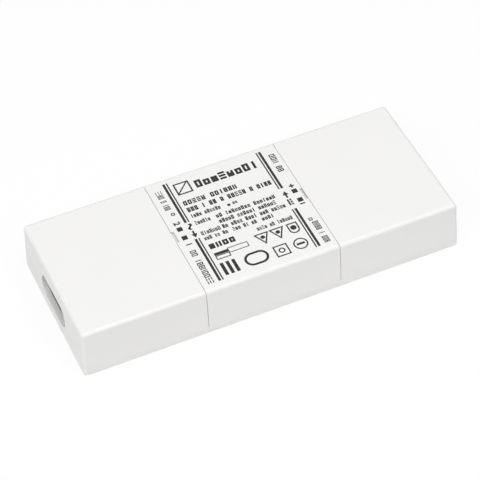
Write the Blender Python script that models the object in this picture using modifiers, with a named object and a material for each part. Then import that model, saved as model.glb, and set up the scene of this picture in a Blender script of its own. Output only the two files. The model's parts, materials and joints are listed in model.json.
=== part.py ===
"""A flat plastic LED driver: a shallow base, a printed middle cover, two latched terminal covers
with an oblong cable entry each, and the circuit board, terminals, cable clamps and parts inside.

Metres, +Z up. The origin is at the middle of the underside, +X runs from the mains end to the
lamp end, and -Y is the long side that faces the viewer."""

from math import copysign, cos, pi, radians, sin

import bmesh
import bpy
from mathutils import Matrix, Vector

# Housing, outside
BODY_LENGTH = 0.122
BODY_WIDTH = 0.050
CENTRE_LENGTH = 0.043
CORNER_RADIUS = 0.0012
EDGE_RADIUS = 0.0012
FOOT_RADIUS = 0.0004
RIM_HEIGHT = 0.0026
WALL_LEAN = 0.0005

# Housing, walls and joints
WALL = 0.0020
FLOOR = 0.0020
INNER_RADIUS = 0.0008
SEAM_GAP = 0.00016
PARTING_GAP = 0.00006
LIP_THICKNESS = 0.0008
LIP_HEIGHT = 0.0015
LIP_CLEARANCE = 0.0002
SKIN = 0.0010
FLANGE_REACH = 0.0020
FLANGE_WALL = 0.0012
FLANGE_ROOT = 0.0006
FLANGE_CLEARANCE = 0.0002

# Cable entries and the pry notches at the seams
ENTRY_WIDTH = 0.0194
ENTRY_HEIGHT = 0.0076
ENTRY_OFFSET = -0.0005
ENTRY_SILL = 0.0002
ENTRY_SIDE_FLAT = 0.0002
NOTCH_LENGTH = 0.0047
NOTCH_DEPTH = 0.0008
NOTCH_DROP = 0.0007

# Catch beads on the covers, which click into windows in the base's lip
BEAD_LENGTH = 0.0050
BEAD_HEIGHT = 0.0005
BEAD_REACH = 0.0006
BEAD_CLEARANCE = 0.00015
END_BEAD_OFFSET = 0.0160
SIDE_BEAD_OFFSET = 0.0130

# Latch arms that hold the terminal covers to the middle cover
ARM_OFFSET = 0.0125
ARM_WIDTH = 0.0050
ARM_THICKNESS = 0.0012
ARM_LENGTH = 0.0058
ARM_CLEARANCE = 0.0003
NOSE_HEIGHT = 0.0014
NOSE_REACH = 0.0010

# Circuit board and the posts that carry it
BOARD_LIFT = 0.0024
BOARD_THICKNESS = 0.0012
BOARD_CLEARANCE = 0.0005
BOARD_MARGIN = 0.0010
HOLD_DOWN_GAP = 0.0004
POST_RADIUS = 0.0025
POST_INSET = 0.0035
POST_PIN_RADIUS = 0.0009
POST_PIN_LENGTH = 0.0010
REST_GAP = 0.0003

# Leads of the parts on the board
HEADROOM = 0.0006
PIN_RADIUS = 0.0003
STOUT_PIN_RADIUS = 0.00045
PIN_TAIL = 0.0010
PIN_BITE = 0.0008
DRILL_CLEARANCE = 0.0003
LEAD_INSET = 0.0012
DISC_LEAD_PITCH = 0.0036
CHOKE_LEAD_PITCH = 0.0034
CAN_LEAD_PITCH = 0.0025

# Two-pole screw terminals
POLE_PITCH = 0.0050
POLE_MARGIN = 0.0001
TERMINAL_DEPTH = 0.0080
TERMINAL_HEIGHT = 0.0086
TERMINAL_GAP = 0.0007
TERMINAL_CHAMFER = 0.0016
POCKET_WIDTH = 0.0038
POCKET_HEIGHT = 0.0046
POCKET_DEPTH = 0.0056
POCKET_LIFT = 0.0009
POCKET_CORNER = 0.0003
WELL_RADIUS = 0.0019
WELL_DEPTH = 0.0022
CAGE_LENGTH = 0.0034
CAGE_WALL = 0.0006
CAGE_CLEARANCE = 0.0003
POLE_SCREW_RADIUS = 0.0016
POLE_SCREW_HEAD = 0.0014
POLE_SHANK_RADIUS = 0.0010
POLE_SHANK_LENGTH = 0.0030
DRIVER_SLOT = 0.0006

# Cable clamps
CLAMP_INSET = 0.0105
CLAMP_SPACING = 0.0190
CLAMP_WIDTH = 0.0062
CLAMP_THICKNESS = 0.0022
CLAMP_END_RADIUS = 0.0028
CLAMP_TOOTH = 0.0008
CLAMP_TOOTH_LENGTH = 0.0100
BOSS_RADIUS = 0.0030
BOSS_HEIGHT = 0.0056
CLAMP_SHANK_RADIUS = 0.0013
CLAMP_SHANK_LENGTH = 0.0064
CLAMP_HEAD_RADIUS = 0.0026
CLAMP_HEAD_HEIGHT = 0.0019
CLAMP_HEAD_EDGE = 0.0008
CROSS_LENGTH = 0.0028
CROSS_WIDTH = 0.0007
CROSS_DEPTH = 0.0011
SCREW_CLEARANCE = 0.0002

# Fixing holes through the floor, under the terminal covers
MOUNT_BOARD_GAP = 0.0021
MOUNT_OFFSET = 0.0165
MOUNT_HOLE_RADIUS = 0.0021
MOUNT_COLLAR_RADIUS = 0.0042
MOUNT_COLLAR_HEIGHT = 0.0010

# Footprints and heights of the parts, along X, along Y, up
FUSE_SIZE = (0.0040, 0.0084, 0.0080)
VARISTOR_DIAMETER = 0.0062
VARISTOR_THICKNESS = 0.0034
FILTER_CAPACITOR_SIZE = (0.0048, 0.0118, 0.0088)
BOX_EDGE = 0.0004
DISC_EDGE = 0.0011
CHOKE_DIAMETER = 0.0060
CHOKE_HEIGHT = 0.0080
CHOKE_SHOULDER = 0.0004
CHOKE_RIM = 0.0013
CHOKE_WAIST = 0.0004
BRIDGE_SIZE = (0.0038, 0.0046, 0.0016)
BUS_CAPACITOR_SIZE = (0.0054, 0.0110, 0.0080)
BUS_CAPACITOR_EDGE = 0.0010
CAN_EDGE = 0.0004
CAN_GROOVE = 0.0003
CAN_GROOVE_LIFT = 0.0013
SUPPLY_CAPACITOR_DIAMETER = 0.0050
SUPPLY_CAPACITOR_HEIGHT = 0.0070
CONTROLLER_SIZE = (0.0049, 0.0039, 0.0015)
OPTOCOUPLER_SIZE = (0.0046, 0.0044, 0.0024)
SAFETY_CAPACITOR_DIAMETER = 0.0072
SAFETY_CAPACITOR_THICKNESS = 0.0036
RECTIFIER_SIZE = (0.0056, 0.0050, 0.0023)
OUTPUT_CAPACITOR_DIAMETER = 0.0063
OUTPUT_CAPACITOR_LENGTH = 0.0112
OUTPUT_CHOKE_DIAMETER = 0.0060
OUTPUT_CHOKE_HEIGHT = 0.0070
CHIP_SIZE = (0.0020, 0.0012, 0.0006)
CHIP_COUNT = 4
BRIDGE_TABS = 2
RECTIFIER_TABS = 1
CONTROLLER_TABS = 4
OPTOCOUPLER_TABS = 2
TAB_REACH = 0.0009
TAB_THICKNESS = 0.0004
TAB_SHARE = 0.56
PACKAGE_EDGE = 0.0002
PART_GAP = 0.0008

# Transformer
LEG_WIDTH = 0.0050
LEG_HEIGHT = 0.0030
SIDE_LEG_WIDTH = 0.0016
YOKE_THICKNESS = 0.0016
CORE_HEIGHT = 0.0042
CORE_GLUE_GAP = 0.0003
FORMER_WALL = 0.0006
FORMER_LENGTH = 0.0124
FORMER_RAIL_HEIGHT = 0.0020
WINDING_BUILD = 0.0019
WINDING_RISE = 0.0009
FLANGE_LAP = 0.0003
WINDING_RADIUS = 0.0008
FORMER_CLEARANCE = 0.0003
TRANSFORMER_PINS = 4
TRANSFORMER_PIN_PITCH = 0.0032

# Facets of round shapes
CORNER_STEPS = 5
ENTRY_STEPS = 8
DOME_STEPS = 4
CLAMP_STEPS = 4
WINDING_STEPS = 3
SOFT_STEPS = 2
CHAMFER_STEPS = 1
ROUND_SIDES = 20
SCREW_SIDES = 16
SMALL_SIDES = 12
PIN_SIDES = 8
SHARP_ANGLE = 32
SAME_PLACE = 0.0000001
MERGE_DISTANCE = 0.000001

# What follows from the transformer's sizes: its tube, its winding and its outside
TUBE_Y = LEG_WIDTH / 2 + FORMER_CLEARANCE + FORMER_WALL
TUBE_Z = LEG_HEIGHT / 2 + FORMER_CLEARANCE + FORMER_WALL
WOUND_Y = TUBE_Y + FORMER_CLEARANCE + WINDING_BUILD
WOUND_Z = TUBE_Z + FORMER_CLEARANCE + WINDING_RISE
TRANSFORMER_LENGTH = FORMER_LENGTH + 2 * (FORMER_CLEARANCE + YOKE_THICKNESS)
TRANSFORMER_WIDTH = 2 * (WOUND_Y + FLANGE_LAP + FORMER_CLEARANCE + SIDE_LEG_WIDTH)
TRANSFORMER_AXIS = max(REST_GAP + WOUND_Z + FLANGE_LAP,
                       REST_GAP + FORMER_RAIL_HEIGHT + FORMER_CLEARANCE + CORE_HEIGHT / 2)
TRANSFORMER_TOP = TRANSFORMER_AXIS + max(WOUND_Z + FLANGE_LAP, CORE_HEIGHT / 2)

# What follows from the tallest part: the covers' ceiling and the driver's height
TALLEST = max(TERMINAL_HEIGHT, FUSE_SIZE[2], REST_GAP + VARISTOR_DIAMETER, FILTER_CAPACITOR_SIZE[2],
              CHOKE_HEIGHT, BUS_CAPACITOR_SIZE[2], SUPPLY_CAPACITOR_HEIGHT,
              REST_GAP + SAFETY_CAPACITOR_DIAMETER, REST_GAP + OUTPUT_CAPACITOR_DIAMETER,
              OUTPUT_CHOKE_HEIGHT, TRANSFORMER_TOP)
BOARD_BOTTOM = FLOOR + BOARD_LIFT
BOARD_TOP = BOARD_BOTTOM + BOARD_THICKNESS
CEILING = BOARD_TOP + TALLEST + HEADROOM
BODY_HEIGHT = CEILING + WALL

# Heights and places shared by the base, the covers and the board
COVER_BOTTOM = RIM_HEIGHT + PARTING_GAP
LIP_TOP = RIM_HEIGHT + LIP_HEIGHT
ENTRY_BOTTOM = LIP_TOP + LIP_CLEARANCE + ENTRY_SILL
BEAD_LOW = (COVER_BOTTOM + LIP_TOP - BEAD_HEIGHT) / 2
BEAD_HIGH = BEAD_LOW + BEAD_HEIGHT
NOSE_LOW = CEILING - ARM_LENGTH
NOSE_HIGH = NOSE_LOW + NOSE_HEIGHT
END_X = BODY_LENGTH / 2
SIDE_Y = BODY_WIDTH / 2
SEAM_X = CENTRE_LENGTH / 2
CENTRE_EDGE = SEAM_X - SEAM_GAP / 2
FLANGE_END = SEAM_X + FLANGE_REACH
TERMINAL_X = FLANGE_END + TERMINAL_GAP + TERMINAL_DEPTH / 2
BOARD_END = TERMINAL_X + TERMINAL_DEPTH / 2 + BOARD_MARGIN
BOARD_WIDTH = BODY_WIDTH - 2 * (WALL + BOARD_CLEARANCE)
MOUNT_X = BOARD_END + MOUNT_BOARD_GAP + MOUNT_COLLAR_RADIUS
CLAMP_X = END_X - CLAMP_INSET
CLAMP_BOTTOM = FLOOR + BOSS_HEIGHT + REST_GAP
CLAMP_SEAT = CLAMP_BOTTOM + CLAMP_THICKNESS + REST_GAP
ENDS = {"input": -1, "output": 1}

drill_places = []


# The scene, its collections and materials

def clear_scene():
    for old in list(bpy.data.objects):
        bpy.data.objects.remove(old)


def new_collection(name):
    collection = bpy.data.collections.new(name)
    bpy.context.scene.collection.children.link(collection)
    return collection


def plastic(name, colour, roughness=0.5, metallic=0.0):
    """A plain surface of one colour, which also serves metal when metallic is 1."""
    material = bpy.data.materials.new(name)
    material.use_nodes = True
    shader = material.node_tree.nodes["Principled BSDF"]
    shader.inputs["Base Color"].default_value = (*colour, 1.0)
    shader.inputs["Roughness"].default_value = roughness
    shader.inputs["Metallic"].default_value = metallic
    material.diffuse_color = (*colour, 1.0)
    return material


def make_materials():
    return {
        "housing": plastic("white_housing", (0.86, 0.86, 0.84), 0.42),
        "board": plastic("green_board", (0.05, 0.22, 0.09), 0.4),
        "terminal": plastic("grey_terminal", (0.42, 0.43, 0.44), 0.45),
        "clamp": plastic("white_clamp", (0.78, 0.78, 0.76), 0.5),
        "steel": plastic("zinc_plated_steel", (0.72, 0.73, 0.74), 0.3, 1.0),
        "brass": plastic("tinned_brass", (0.75, 0.70, 0.55), 0.3, 1.0),
        "black": plastic("black_moulding", (0.02, 0.02, 0.022), 0.45),
        "blue": plastic("blue_coating", (0.04, 0.14, 0.42), 0.4),
        "yellow": plastic("yellow_tape", (0.85, 0.62, 0.08), 0.5),
        "rust": plastic("brown_coating", (0.38, 0.12, 0.04), 0.35),
        "ferrite": plastic("ferrite", (0.09, 0.09, 0.095), 0.6),
        "sleeve": plastic("dark_sleeve", (0.03, 0.035, 0.06), 0.3),
        "chip": plastic("chip_ceramic", (0.30, 0.26, 0.20), 0.5),
    }


# Objects, and the Booleans that join and cut them

def link_mesh(name, bm, material):
    """A visible part whose round sides are shaded smooth."""
    mesh = bpy.data.meshes.new(name)
    bm.to_mesh(mesh)
    bm.free()
    mesh.materials.append(material)
    mesh.shade_smooth()
    mesh.set_sharp_from_angle(angle=radians(SHARP_ANGLE))
    part = bpy.data.objects.new(name, mesh)
    parts.objects.link(part)
    return part


def link_helper(name, bm):
    """A shape that only joins or cuts others."""
    mesh = bpy.data.meshes.new(name)
    bm.to_mesh(mesh)
    bm.free()
    helper = bpy.data.objects.new(name, mesh)
    helper.hide_render = True
    helper.display_type = "WIRE"
    cutters.objects.link(helper)
    return helper


def combine(part, helper, operation):
    modifier = part.modifiers.new(helper.name, "BOOLEAN")
    modifier.operation = operation
    modifier.object = helper
    modifier.solver = "EXACT"
    helper.location = part.location


def join(part, bm, label):
    combine(part, link_helper(f"{part.name}_{label}", bm), "UNION")


def cut(part, bm, label):
    combine(part, link_helper(f"{part.name}_{label}", bm), "DIFFERENCE")


# Shapes added to a bmesh

def edges_of(verts):
    return list({edge for vert in verts for edge in vert.link_edges})


def is_level(edge, axis):
    first, second = edge.verts
    return abs(first.co[axis] - second.co[axis]) < SAME_PLACE


def round_edges(bm, edges, radius, steps):
    bmesh.ops.bevel(bm, geom=edges, offset=radius, offset_type="OFFSET", segments=steps,
                    profile=0.5, affect="EDGES", material=-1, clamp_overlap=True)


def add_block(bm, low, high, radius=0.0, along=2, steps=SOFT_STEPS):
    """A block between two corners, with the four edges that run along one axis rounded."""
    low, high = Vector(low), Vector(high)
    size = high - low
    place = Matrix.Translation((low + high) / 2) @ Matrix.Diagonal((*size, 1.0))
    verts = bmesh.ops.create_cube(bm, size=1.0, matrix=place)["verts"]
    if radius:
        others = [axis for axis in range(3) if axis != along]
        upright = [e for e in edges_of(verts) if all(is_level(e, axis) for axis in others)]
        round_edges(bm, upright, radius, steps)


def add_soft_block(bm, low, high, radius, steps=SOFT_STEPS):
    """A block with all its edges rounded."""
    low, high = Vector(low), Vector(high)
    place = Matrix.Translation((low + high) / 2) @ Matrix.Diagonal((*(high - low), 1.0))
    verts = bmesh.ops.create_cube(bm, size=1.0, matrix=place)["verts"]
    round_edges(bm, edges_of(verts), radius, steps)


def add_rod(bm, start, end, radius, sides=ROUND_SIDES, rim=0.0):
    """A cylinder between two points, with its two rims rounded where rim is given."""
    start, end = Vector(start), Vector(end)
    run = end - start
    place = Matrix.Translation((start + end) / 2) @ run.to_track_quat("Z", "Y").to_matrix().to_4x4()
    made = bmesh.ops.create_cone(bm, cap_ends=True, segments=sides, radius1=radius,
                                 radius2=radius, depth=run.length, matrix=place)
    if rim:
        direction = run.normalized()
        rims = [e for e in edges_of(made["verts"])
                if abs((e.verts[0].co - e.verts[1].co).dot(direction)) < SAME_PLACE]
        round_edges(bm, rims, rim, SOFT_STEPS)


def add_oblong(bm, centre, width, height, reach):
    """The filling of a slot along X: a block whose sides are rounded nearly to a half circle."""
    centre, half = Vector(centre), Vector((reach, width / 2, height / 2))
    add_block(bm, centre - half, centre + half, (height - ENTRY_SIDE_FLAT) / 2, along=0,
              steps=ENTRY_STEPS)


def add_prism(bm, outline, near, far):
    """An outline in the XZ plane, pushed out along Y from near to far."""
    face = bm.faces.new([bm.verts.new((x, near, z)) for x, z in outline])
    pushed = bmesh.ops.extrude_face_region(bm, geom=[face])["geom"]
    for vert in (g for g in pushed if isinstance(g, bmesh.types.BMVert)):
        vert.co.y = far
    bmesh.ops.recalc_face_normals(bm, faces=bm.faces[:])


def turned(name, profile, material, sides=ROUND_SIDES):
    """A part turned about its own Z. The profile holds (radius, height) from top to bottom."""
    bm = bmesh.new()
    verts = [bm.verts.new((radius, 0, height)) for radius, height in profile]
    for upper, lower in zip(verts, verts[1:]):
        bm.edges.new((upper, lower))
    part = link_mesh(name, bm, material)
    screw = part.modifiers.new("turn", "SCREW")
    screw.axis = "Z"
    screw.steps = sides
    screw.render_steps = sides
    screw.use_merge_vertices = True
    screw.merge_threshold = MERGE_DISTANCE
    return part


def blank():
    return bmesh.new()


# Housing

def rounded_slab(bottom, top, edge_height, edge_radius, edge_steps, lean=0.0):
    """The housing's whole outline between two heights, with its upright corners rounded and the
    edge loop at edge_height as well. Its walls lean in by lean at the top, as moulded draft."""
    bm = blank()
    add_block(bm, (-END_X, -SIDE_Y, bottom), (END_X, SIDE_Y, top), CORNER_RADIUS,
              steps=CORNER_STEPS)
    for vert in bm.verts:
        if abs(vert.co.z - top) < SAME_PLACE:
            vert.co.x -= copysign(lean, vert.co.x)
            vert.co.y -= copysign(lean, vert.co.y)
    loop = [e for e in bm.edges if all(abs(v.co.z - edge_height) < SAME_PLACE for v in e.verts)]
    round_edges(bm, loop, edge_radius, edge_steps)
    return bm


def slice_slab(bm, x, keep):
    """Cuts the slab at x and keeps the side that keep (-1 or 1) points to, closed by a face."""
    cut_made = bmesh.ops.bisect_plane(bm, geom=bm.verts[:] + bm.edges[:] + bm.faces[:],
                                      plane_co=(x, 0, 0), plane_no=(keep, 0, 0),
                                      clear_inner=True)
    rim = [g for g in cut_made["geom_cut"] if isinstance(g, bmesh.types.BMEdge)]
    bmesh.ops.edgeloop_fill(bm, edges=rim)
    bmesh.ops.recalc_face_normals(bm, faces=bm.faces[:])


def bead_sites():
    """Where the covers' catch beads sit: (middle along the lip, outward axis, outward sign, owner)."""
    for sign in (-1, 1):
        for offset in (-SIDE_BEAD_OFFSET, SIDE_BEAD_OFFSET):
            yield offset, 1, sign, "centre"
        for offset in (-END_BEAD_OFFSET, END_BEAD_OFFSET):
            yield offset, 0, sign, "input" if sign < 0 else "output"


def site_block(bm, site, inner, outer, half_length, low, high):
    """A block at a bead site, from inner to outer along the site's outward axis."""
    offset, axis, sign, _ = site
    near, far = sorted((sign * inner, sign * outer))
    if axis == 0:
        add_block(bm, (near, offset - half_length, low), (far, offset + half_length, high))
    else:
        add_block(bm, (offset - half_length, near, low), (offset + half_length, far, high))


def add_beads(cover, owner):
    """The small ridges inside a cover's skin that click into the lip."""
    bm = blank()
    for site in bead_sites():
        if site[3] == owner:
            skin = (END_X if site[1] == 0 else SIDE_Y) - SKIN
            site_block(bm, site, skin - BEAD_REACH, skin + SKIN / 2, BEAD_LENGTH / 2, BEAD_LOW, BEAD_HIGH)
    join(cover, bm, "beads")


def build_base(material):
    """The shallow base: floor, rim, locating lip, board posts, clamp bosses and fixing holes."""
    bm = rounded_slab(0, RIM_HEIGHT, 0, FOOT_RADIUS, SOFT_STEPS)
    base = link_mesh("base", bm, material)
    lip_outer_x = END_X - SKIN - LIP_CLEARANCE
    lip_outer_y = SIDE_Y - SKIN - LIP_CLEARANCE
    bm = blank()
    add_block(bm, (-lip_outer_x, -lip_outer_y, FLOOR / 2), (lip_outer_x, lip_outer_y, LIP_TOP),
              INNER_RADIUS)
    join(base, bm, "lip")
    inner_x = lip_outer_x - LIP_THICKNESS
    inner_y = lip_outer_y - LIP_THICKNESS
    bm = blank()
    add_block(bm, (-inner_x, -inner_y, FLOOR), (inner_x, inner_y, BODY_HEIGHT),
              INNER_RADIUS / 2)
    cut(base, bm, "cavity")
    bm = blank()
    for site in bead_sites():
        outer = lip_outer_x if site[1] == 0 else lip_outer_y
        site_block(bm, site, outer - 2 * LIP_THICKNESS, outer + LIP_CLEARANCE / 2,
                   BEAD_LENGTH / 2 + BEAD_CLEARANCE, BEAD_LOW - BEAD_CLEARANCE,
                   BEAD_HIGH + BEAD_CLEARANCE)
    cut(base, bm, "bead_windows")
    join(base, board_posts(), "posts")
    join(base, board_pins(), "locating_pins")
    join(base, clamp_bosses(), "bosses")
    join(base, saddle_teeth(), "saddles")
    join(base, mount_collars(), "collars")
    cut(base, floor_holes(), "holes")


def post_places():
    x = BOARD_END - POST_INSET
    y = BOARD_WIDTH / 2 - POST_INSET
    return [(sx * x, sy * y) for sx in (-1, 1) for sy in (-1, 1)]


def board_posts():
    bm = blank()
    for x, y in post_places():
        add_rod(bm, (x, y, FLOOR / 2), (x, y, BOARD_BOTTOM - REST_GAP), POST_RADIUS, SMALL_SIDES)
    return bm


def board_pins():
    """Locating pins on the posts, which stand through the board."""
    bm = blank()
    for x, y in post_places():
        add_rod(bm, (x, y, BOARD_BOTTOM - 2 * REST_GAP), (x, y, BOARD_TOP + POST_PIN_LENGTH),
                POST_PIN_RADIUS, SMALL_SIDES)
    return bm


def clamp_screw_places(side):
    return [(side * CLAMP_X, offset * CLAMP_SPACING / 2) for offset in (-1, 1)]


def clamp_bosses():
    bm = blank()
    for side in ENDS.values():
        for x, y in clamp_screw_places(side):
            add_rod(bm, (x, y, FLOOR / 2), (x, y, FLOOR + BOSS_HEIGHT), BOSS_RADIUS, ROUND_SIDES)
    return bm


def saddle_teeth():
    """Two low ridges on the floor under each clamp, which bite into the cable's sheath."""
    bm = blank()
    for side in ENDS.values():
        for step in (-1, 1):
            x = side * CLAMP_X + step * CLAMP_WIDTH / 4
            add_block(bm, (x - CLAMP_TOOTH / 2, -CLAMP_TOOTH_LENGTH / 2, FLOOR / 2),
                      (x + CLAMP_TOOTH / 2, CLAMP_TOOTH_LENGTH / 2, FLOOR + CLAMP_TOOTH))
    return bm


def mount_places():
    """One fixing hole at each end, on a diagonal."""
    return [(side * MOUNT_X, -side * MOUNT_OFFSET) for side in ENDS.values()]


def mount_collars():
    bm = blank()
    for x, y in mount_places():
        add_rod(bm, (x, y, FLOOR / 2), (x, y, FLOOR + MOUNT_COLLAR_HEIGHT), MOUNT_COLLAR_RADIUS)
    return bm


def floor_holes():
    """The fixing holes, right through, and the blind holes for the clamp screws."""
    bm = blank()
    for x, y in mount_places():
        add_rod(bm, (x, y, -FLOOR), (x, y, 2 * FLOOR + MOUNT_COLLAR_HEIGHT), MOUNT_HOLE_RADIUS)
    tip = CLAMP_SEAT - CLAMP_SHANK_LENGTH - SCREW_CLEARANCE
    for side in ENDS.values():
        for x, y in clamp_screw_places(side):
            add_rod(bm, (x, y, tip), (x, y, CLAMP_SEAT), CLAMP_SHANK_RADIUS + SCREW_CLEARANCE,
                    SMALL_SIDES)
    return bm


def rebate(bm, low_x, high_x):
    """The step inside a cover's foot that leaves its outer skin to slide over the lip."""
    add_block(bm, (low_x, -SIDE_Y + SKIN, 0), (high_x, SIDE_Y - SKIN, LIP_TOP + LIP_CLEARANCE),
              INNER_RADIUS)


def build_centre_cover(material):
    """The middle cover: an arch between the seams, with a stepped flange and a bulkhead at each
    end that reach under the terminal covers and hold the board down."""
    bm = rounded_slab(COVER_BOTTOM, BODY_HEIGHT, BODY_HEIGHT, EDGE_RADIUS, CORNER_STEPS, WALL_LEAN)
    slice_slab(bm, -CENTRE_EDGE, 1)
    slice_slab(bm, CENTRE_EDGE, -1)
    cover = link_mesh("centre_cover", bm, material)
    flange_y = SIDE_Y - WALL - FLANGE_CLEARANCE
    flange_top = CEILING - FLANGE_CLEARANCE
    flange_bottom = BOARD_TOP + HOLD_DOWN_GAP
    bm = blank()
    add_block(bm, (-FLANGE_END, -flange_y, flange_bottom), (FLANGE_END, flange_y, flange_top),
              INNER_RADIUS, along=0)
    join(cover, bm, "flange")
    room_x = CENTRE_EDGE - FLANGE_ROOT
    bm = blank()
    add_block(bm, (-room_x, -SIDE_Y + WALL, 0), (room_x, SIDE_Y - WALL, CEILING),
              INNER_RADIUS, along=0)
    cut(cover, bm, "room")
    bm = blank()
    add_block(bm, (-FLANGE_END + FLANGE_WALL, -flange_y + FLANGE_WALL, 0),
              (FLANGE_END - FLANGE_WALL, flange_y - FLANGE_WALL, flange_top - FLANGE_WALL))
    cut(cover, bm, "flange_room")
    bm = blank()
    add_block(bm, (-END_X, -SIDE_Y + WALL, 0), (END_X, SIDE_Y - WALL, flange_bottom))
    cut(cover, bm, "board_space")
    bm = blank()
    rebate(bm, -END_X, END_X)
    cut(cover, bm, "rebate")
    add_beads(cover, "centre")
    cut(cover, latch_windows(), "latch_windows")
    for end, side in ENDS.items():
        cut(cover, pry_notch(side * CENTRE_EDGE, -side), f"{end}_pry_notch")


def latch_windows():
    """Openings in the bulkheads that catch the latch arms' noses."""
    bm = blank()
    half = ARM_WIDTH / 2 + ARM_CLEARANCE
    for end in ENDS.values():
        near, far = sorted((end * (FLANGE_END - 2 * FLANGE_WALL), end * (FLANGE_END + FLANGE_WALL)))
        for y in (-ARM_OFFSET, ARM_OFFSET):
            add_block(bm, (near, y - half, NOSE_LOW - ARM_CLEARANCE),
                      (far, y + half, NOSE_HIGH + ARM_CLEARANCE))
    return bm


def pry_notch(edge, inward):
    """A shallow step off the top edge at a seam, where a screwdriver goes in."""
    bm = blank()
    near, far = sorted((edge - inward * SEAM_GAP, edge + inward * NOTCH_DEPTH))
    add_block(bm, (near, -NOTCH_LENGTH / 2, BODY_HEIGHT - NOTCH_DROP),
              (far, NOTCH_LENGTH / 2, BODY_HEIGHT + NOTCH_DROP))
    return bm


def build_end_cover(end, material):
    """A terminal cover: closed at its far end by the wall with the cable entry, open at the seam."""
    side = ENDS[end]
    edge = SEAM_X + SEAM_GAP / 2
    bm = rounded_slab(COVER_BOTTOM, BODY_HEIGHT, BODY_HEIGHT, EDGE_RADIUS, CORNER_STEPS, WALL_LEAN)
    slice_slab(bm, side * edge, side)
    cover = link_mesh(f"{end}_cover", bm, material)
    near, far = sorted((side * SEAM_X / 2, side * (END_X - WALL)))
    bm = blank()
    add_block(bm, (near, -SIDE_Y + WALL, 0), (far, SIDE_Y - WALL, CEILING), INNER_RADIUS)
    cut(cover, bm, "room")
    near, far = sorted((side * SEAM_X / 2, side * (END_X - SKIN)))
    bm = blank()
    rebate(bm, near, far)
    cut(cover, bm, "rebate")
    bm = blank()
    middle = (side * (END_X - WALL / 2), ENTRY_OFFSET, ENTRY_BOTTOM + ENTRY_HEIGHT / 2)
    add_oblong(bm, middle, ENTRY_WIDTH, ENTRY_HEIGHT, WALL)
    cut(cover, bm, "entry")
    add_beads(cover, end)
    join(cover, latch_arms(side), "latch_arms")


def latch_arms(side):
    """Two springy arms that hang from the cover's ceiling beside the bulkhead, each with a nose."""
    inner = FLANGE_END + ARM_CLEARANCE
    outer = inner + ARM_THICKNESS
    nose = inner - NOSE_REACH
    top = CEILING + WALL / 2
    outline = [(outer, top), (outer, NOSE_LOW), (inner, NOSE_LOW), (nose, (NOSE_LOW + NOSE_HIGH) / 2),
               (nose, NOSE_HIGH), (inner, NOSE_HIGH), (inner, top)]
    bm = blank()
    for y in (-ARM_OFFSET, ARM_OFFSET):
        add_prism(bm, [(side * x, z) for x, z in outline], y - ARM_WIDTH / 2, y + ARM_WIDTH / 2)
    return bm


# Cable clamps

def build_clamp(end, material, steel):
    """The bar that presses the cable onto the saddle, and its two screws."""
    side = ENDS[end]
    half_length = CLAMP_SPACING / 2 + BOSS_RADIUS
    bm = blank()
    add_block(bm, (-CLAMP_WIDTH / 2, -half_length, 0), (CLAMP_WIDTH / 2, half_length, CLAMP_THICKNESS),
              CLAMP_END_RADIUS, steps=CLAMP_STEPS)
    bar = link_mesh(f"{end}_cable_clamp", bm, material)
    bar.location = (side * CLAMP_X, 0, CLAMP_BOTTOM)
    bm = blank()
    for step in (-1, 1):
        x = step * CLAMP_WIDTH / 4
        add_block(bm, (x - CLAMP_TOOTH / 2, -CLAMP_TOOTH_LENGTH / 2, -CLAMP_TOOTH),
                  (x + CLAMP_TOOTH / 2, CLAMP_TOOTH_LENGTH / 2, CLAMP_THICKNESS / 2))
    join(bar, bm, "teeth")
    bm = blank()
    for offset in (-1, 1):
        y = offset * CLAMP_SPACING / 2
        add_rod(bm, (0, y, -CLAMP_THICKNESS), (0, y, 2 * CLAMP_THICKNESS),
                CLAMP_SHANK_RADIUS + SCREW_CLEARANCE, SMALL_SIDES)
    cut(bar, bm, "screw_holes")
    for number, (x, y) in enumerate(clamp_screw_places(side), 1):
        build_pan_screw(f"{end}_clamp_screw_{number}", (x, y, CLAMP_SEAT), steel)


def build_pan_screw(name, seat, material):
    """A pan-head screw with a domed head, a cross recess and its point down."""
    head, rise = CLAMP_HEAD_RADIUS, CLAMP_HEAD_HEIGHT
    shank, length = CLAMP_SHANK_RADIUS, CLAMP_SHANK_LENGTH
    turns = [step * pi / 2 / DOME_STEPS for step in range(DOME_STEPS + 1)]
    dome = [(head * sin(a), CLAMP_HEAD_EDGE + (rise - CLAMP_HEAD_EDGE) * cos(a)) for a in turns]
    screw = turned(name, dome + [(head, 0), (shank, 0), (shank, shank - length), (0, -length)],
                   material, SCREW_SIDES)
    screw.location = seat
    bm = blank()
    half, depth = CROSS_LENGTH / 2, rise - CROSS_DEPTH
    add_block(bm, (-half, -CROSS_WIDTH / 2, depth), (half, CROSS_WIDTH / 2, 2 * rise))
    cut(screw, bm, "recess_along")
    bm = blank()
    add_block(bm, (-CROSS_WIDTH / 2, -half, depth), (CROSS_WIDTH / 2, half, 2 * rise))
    cut(screw, bm, "recess_across")


# Screw terminals

def pole_places():
    return [-POLE_PITCH / 2, POLE_PITCH / 2]


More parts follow.
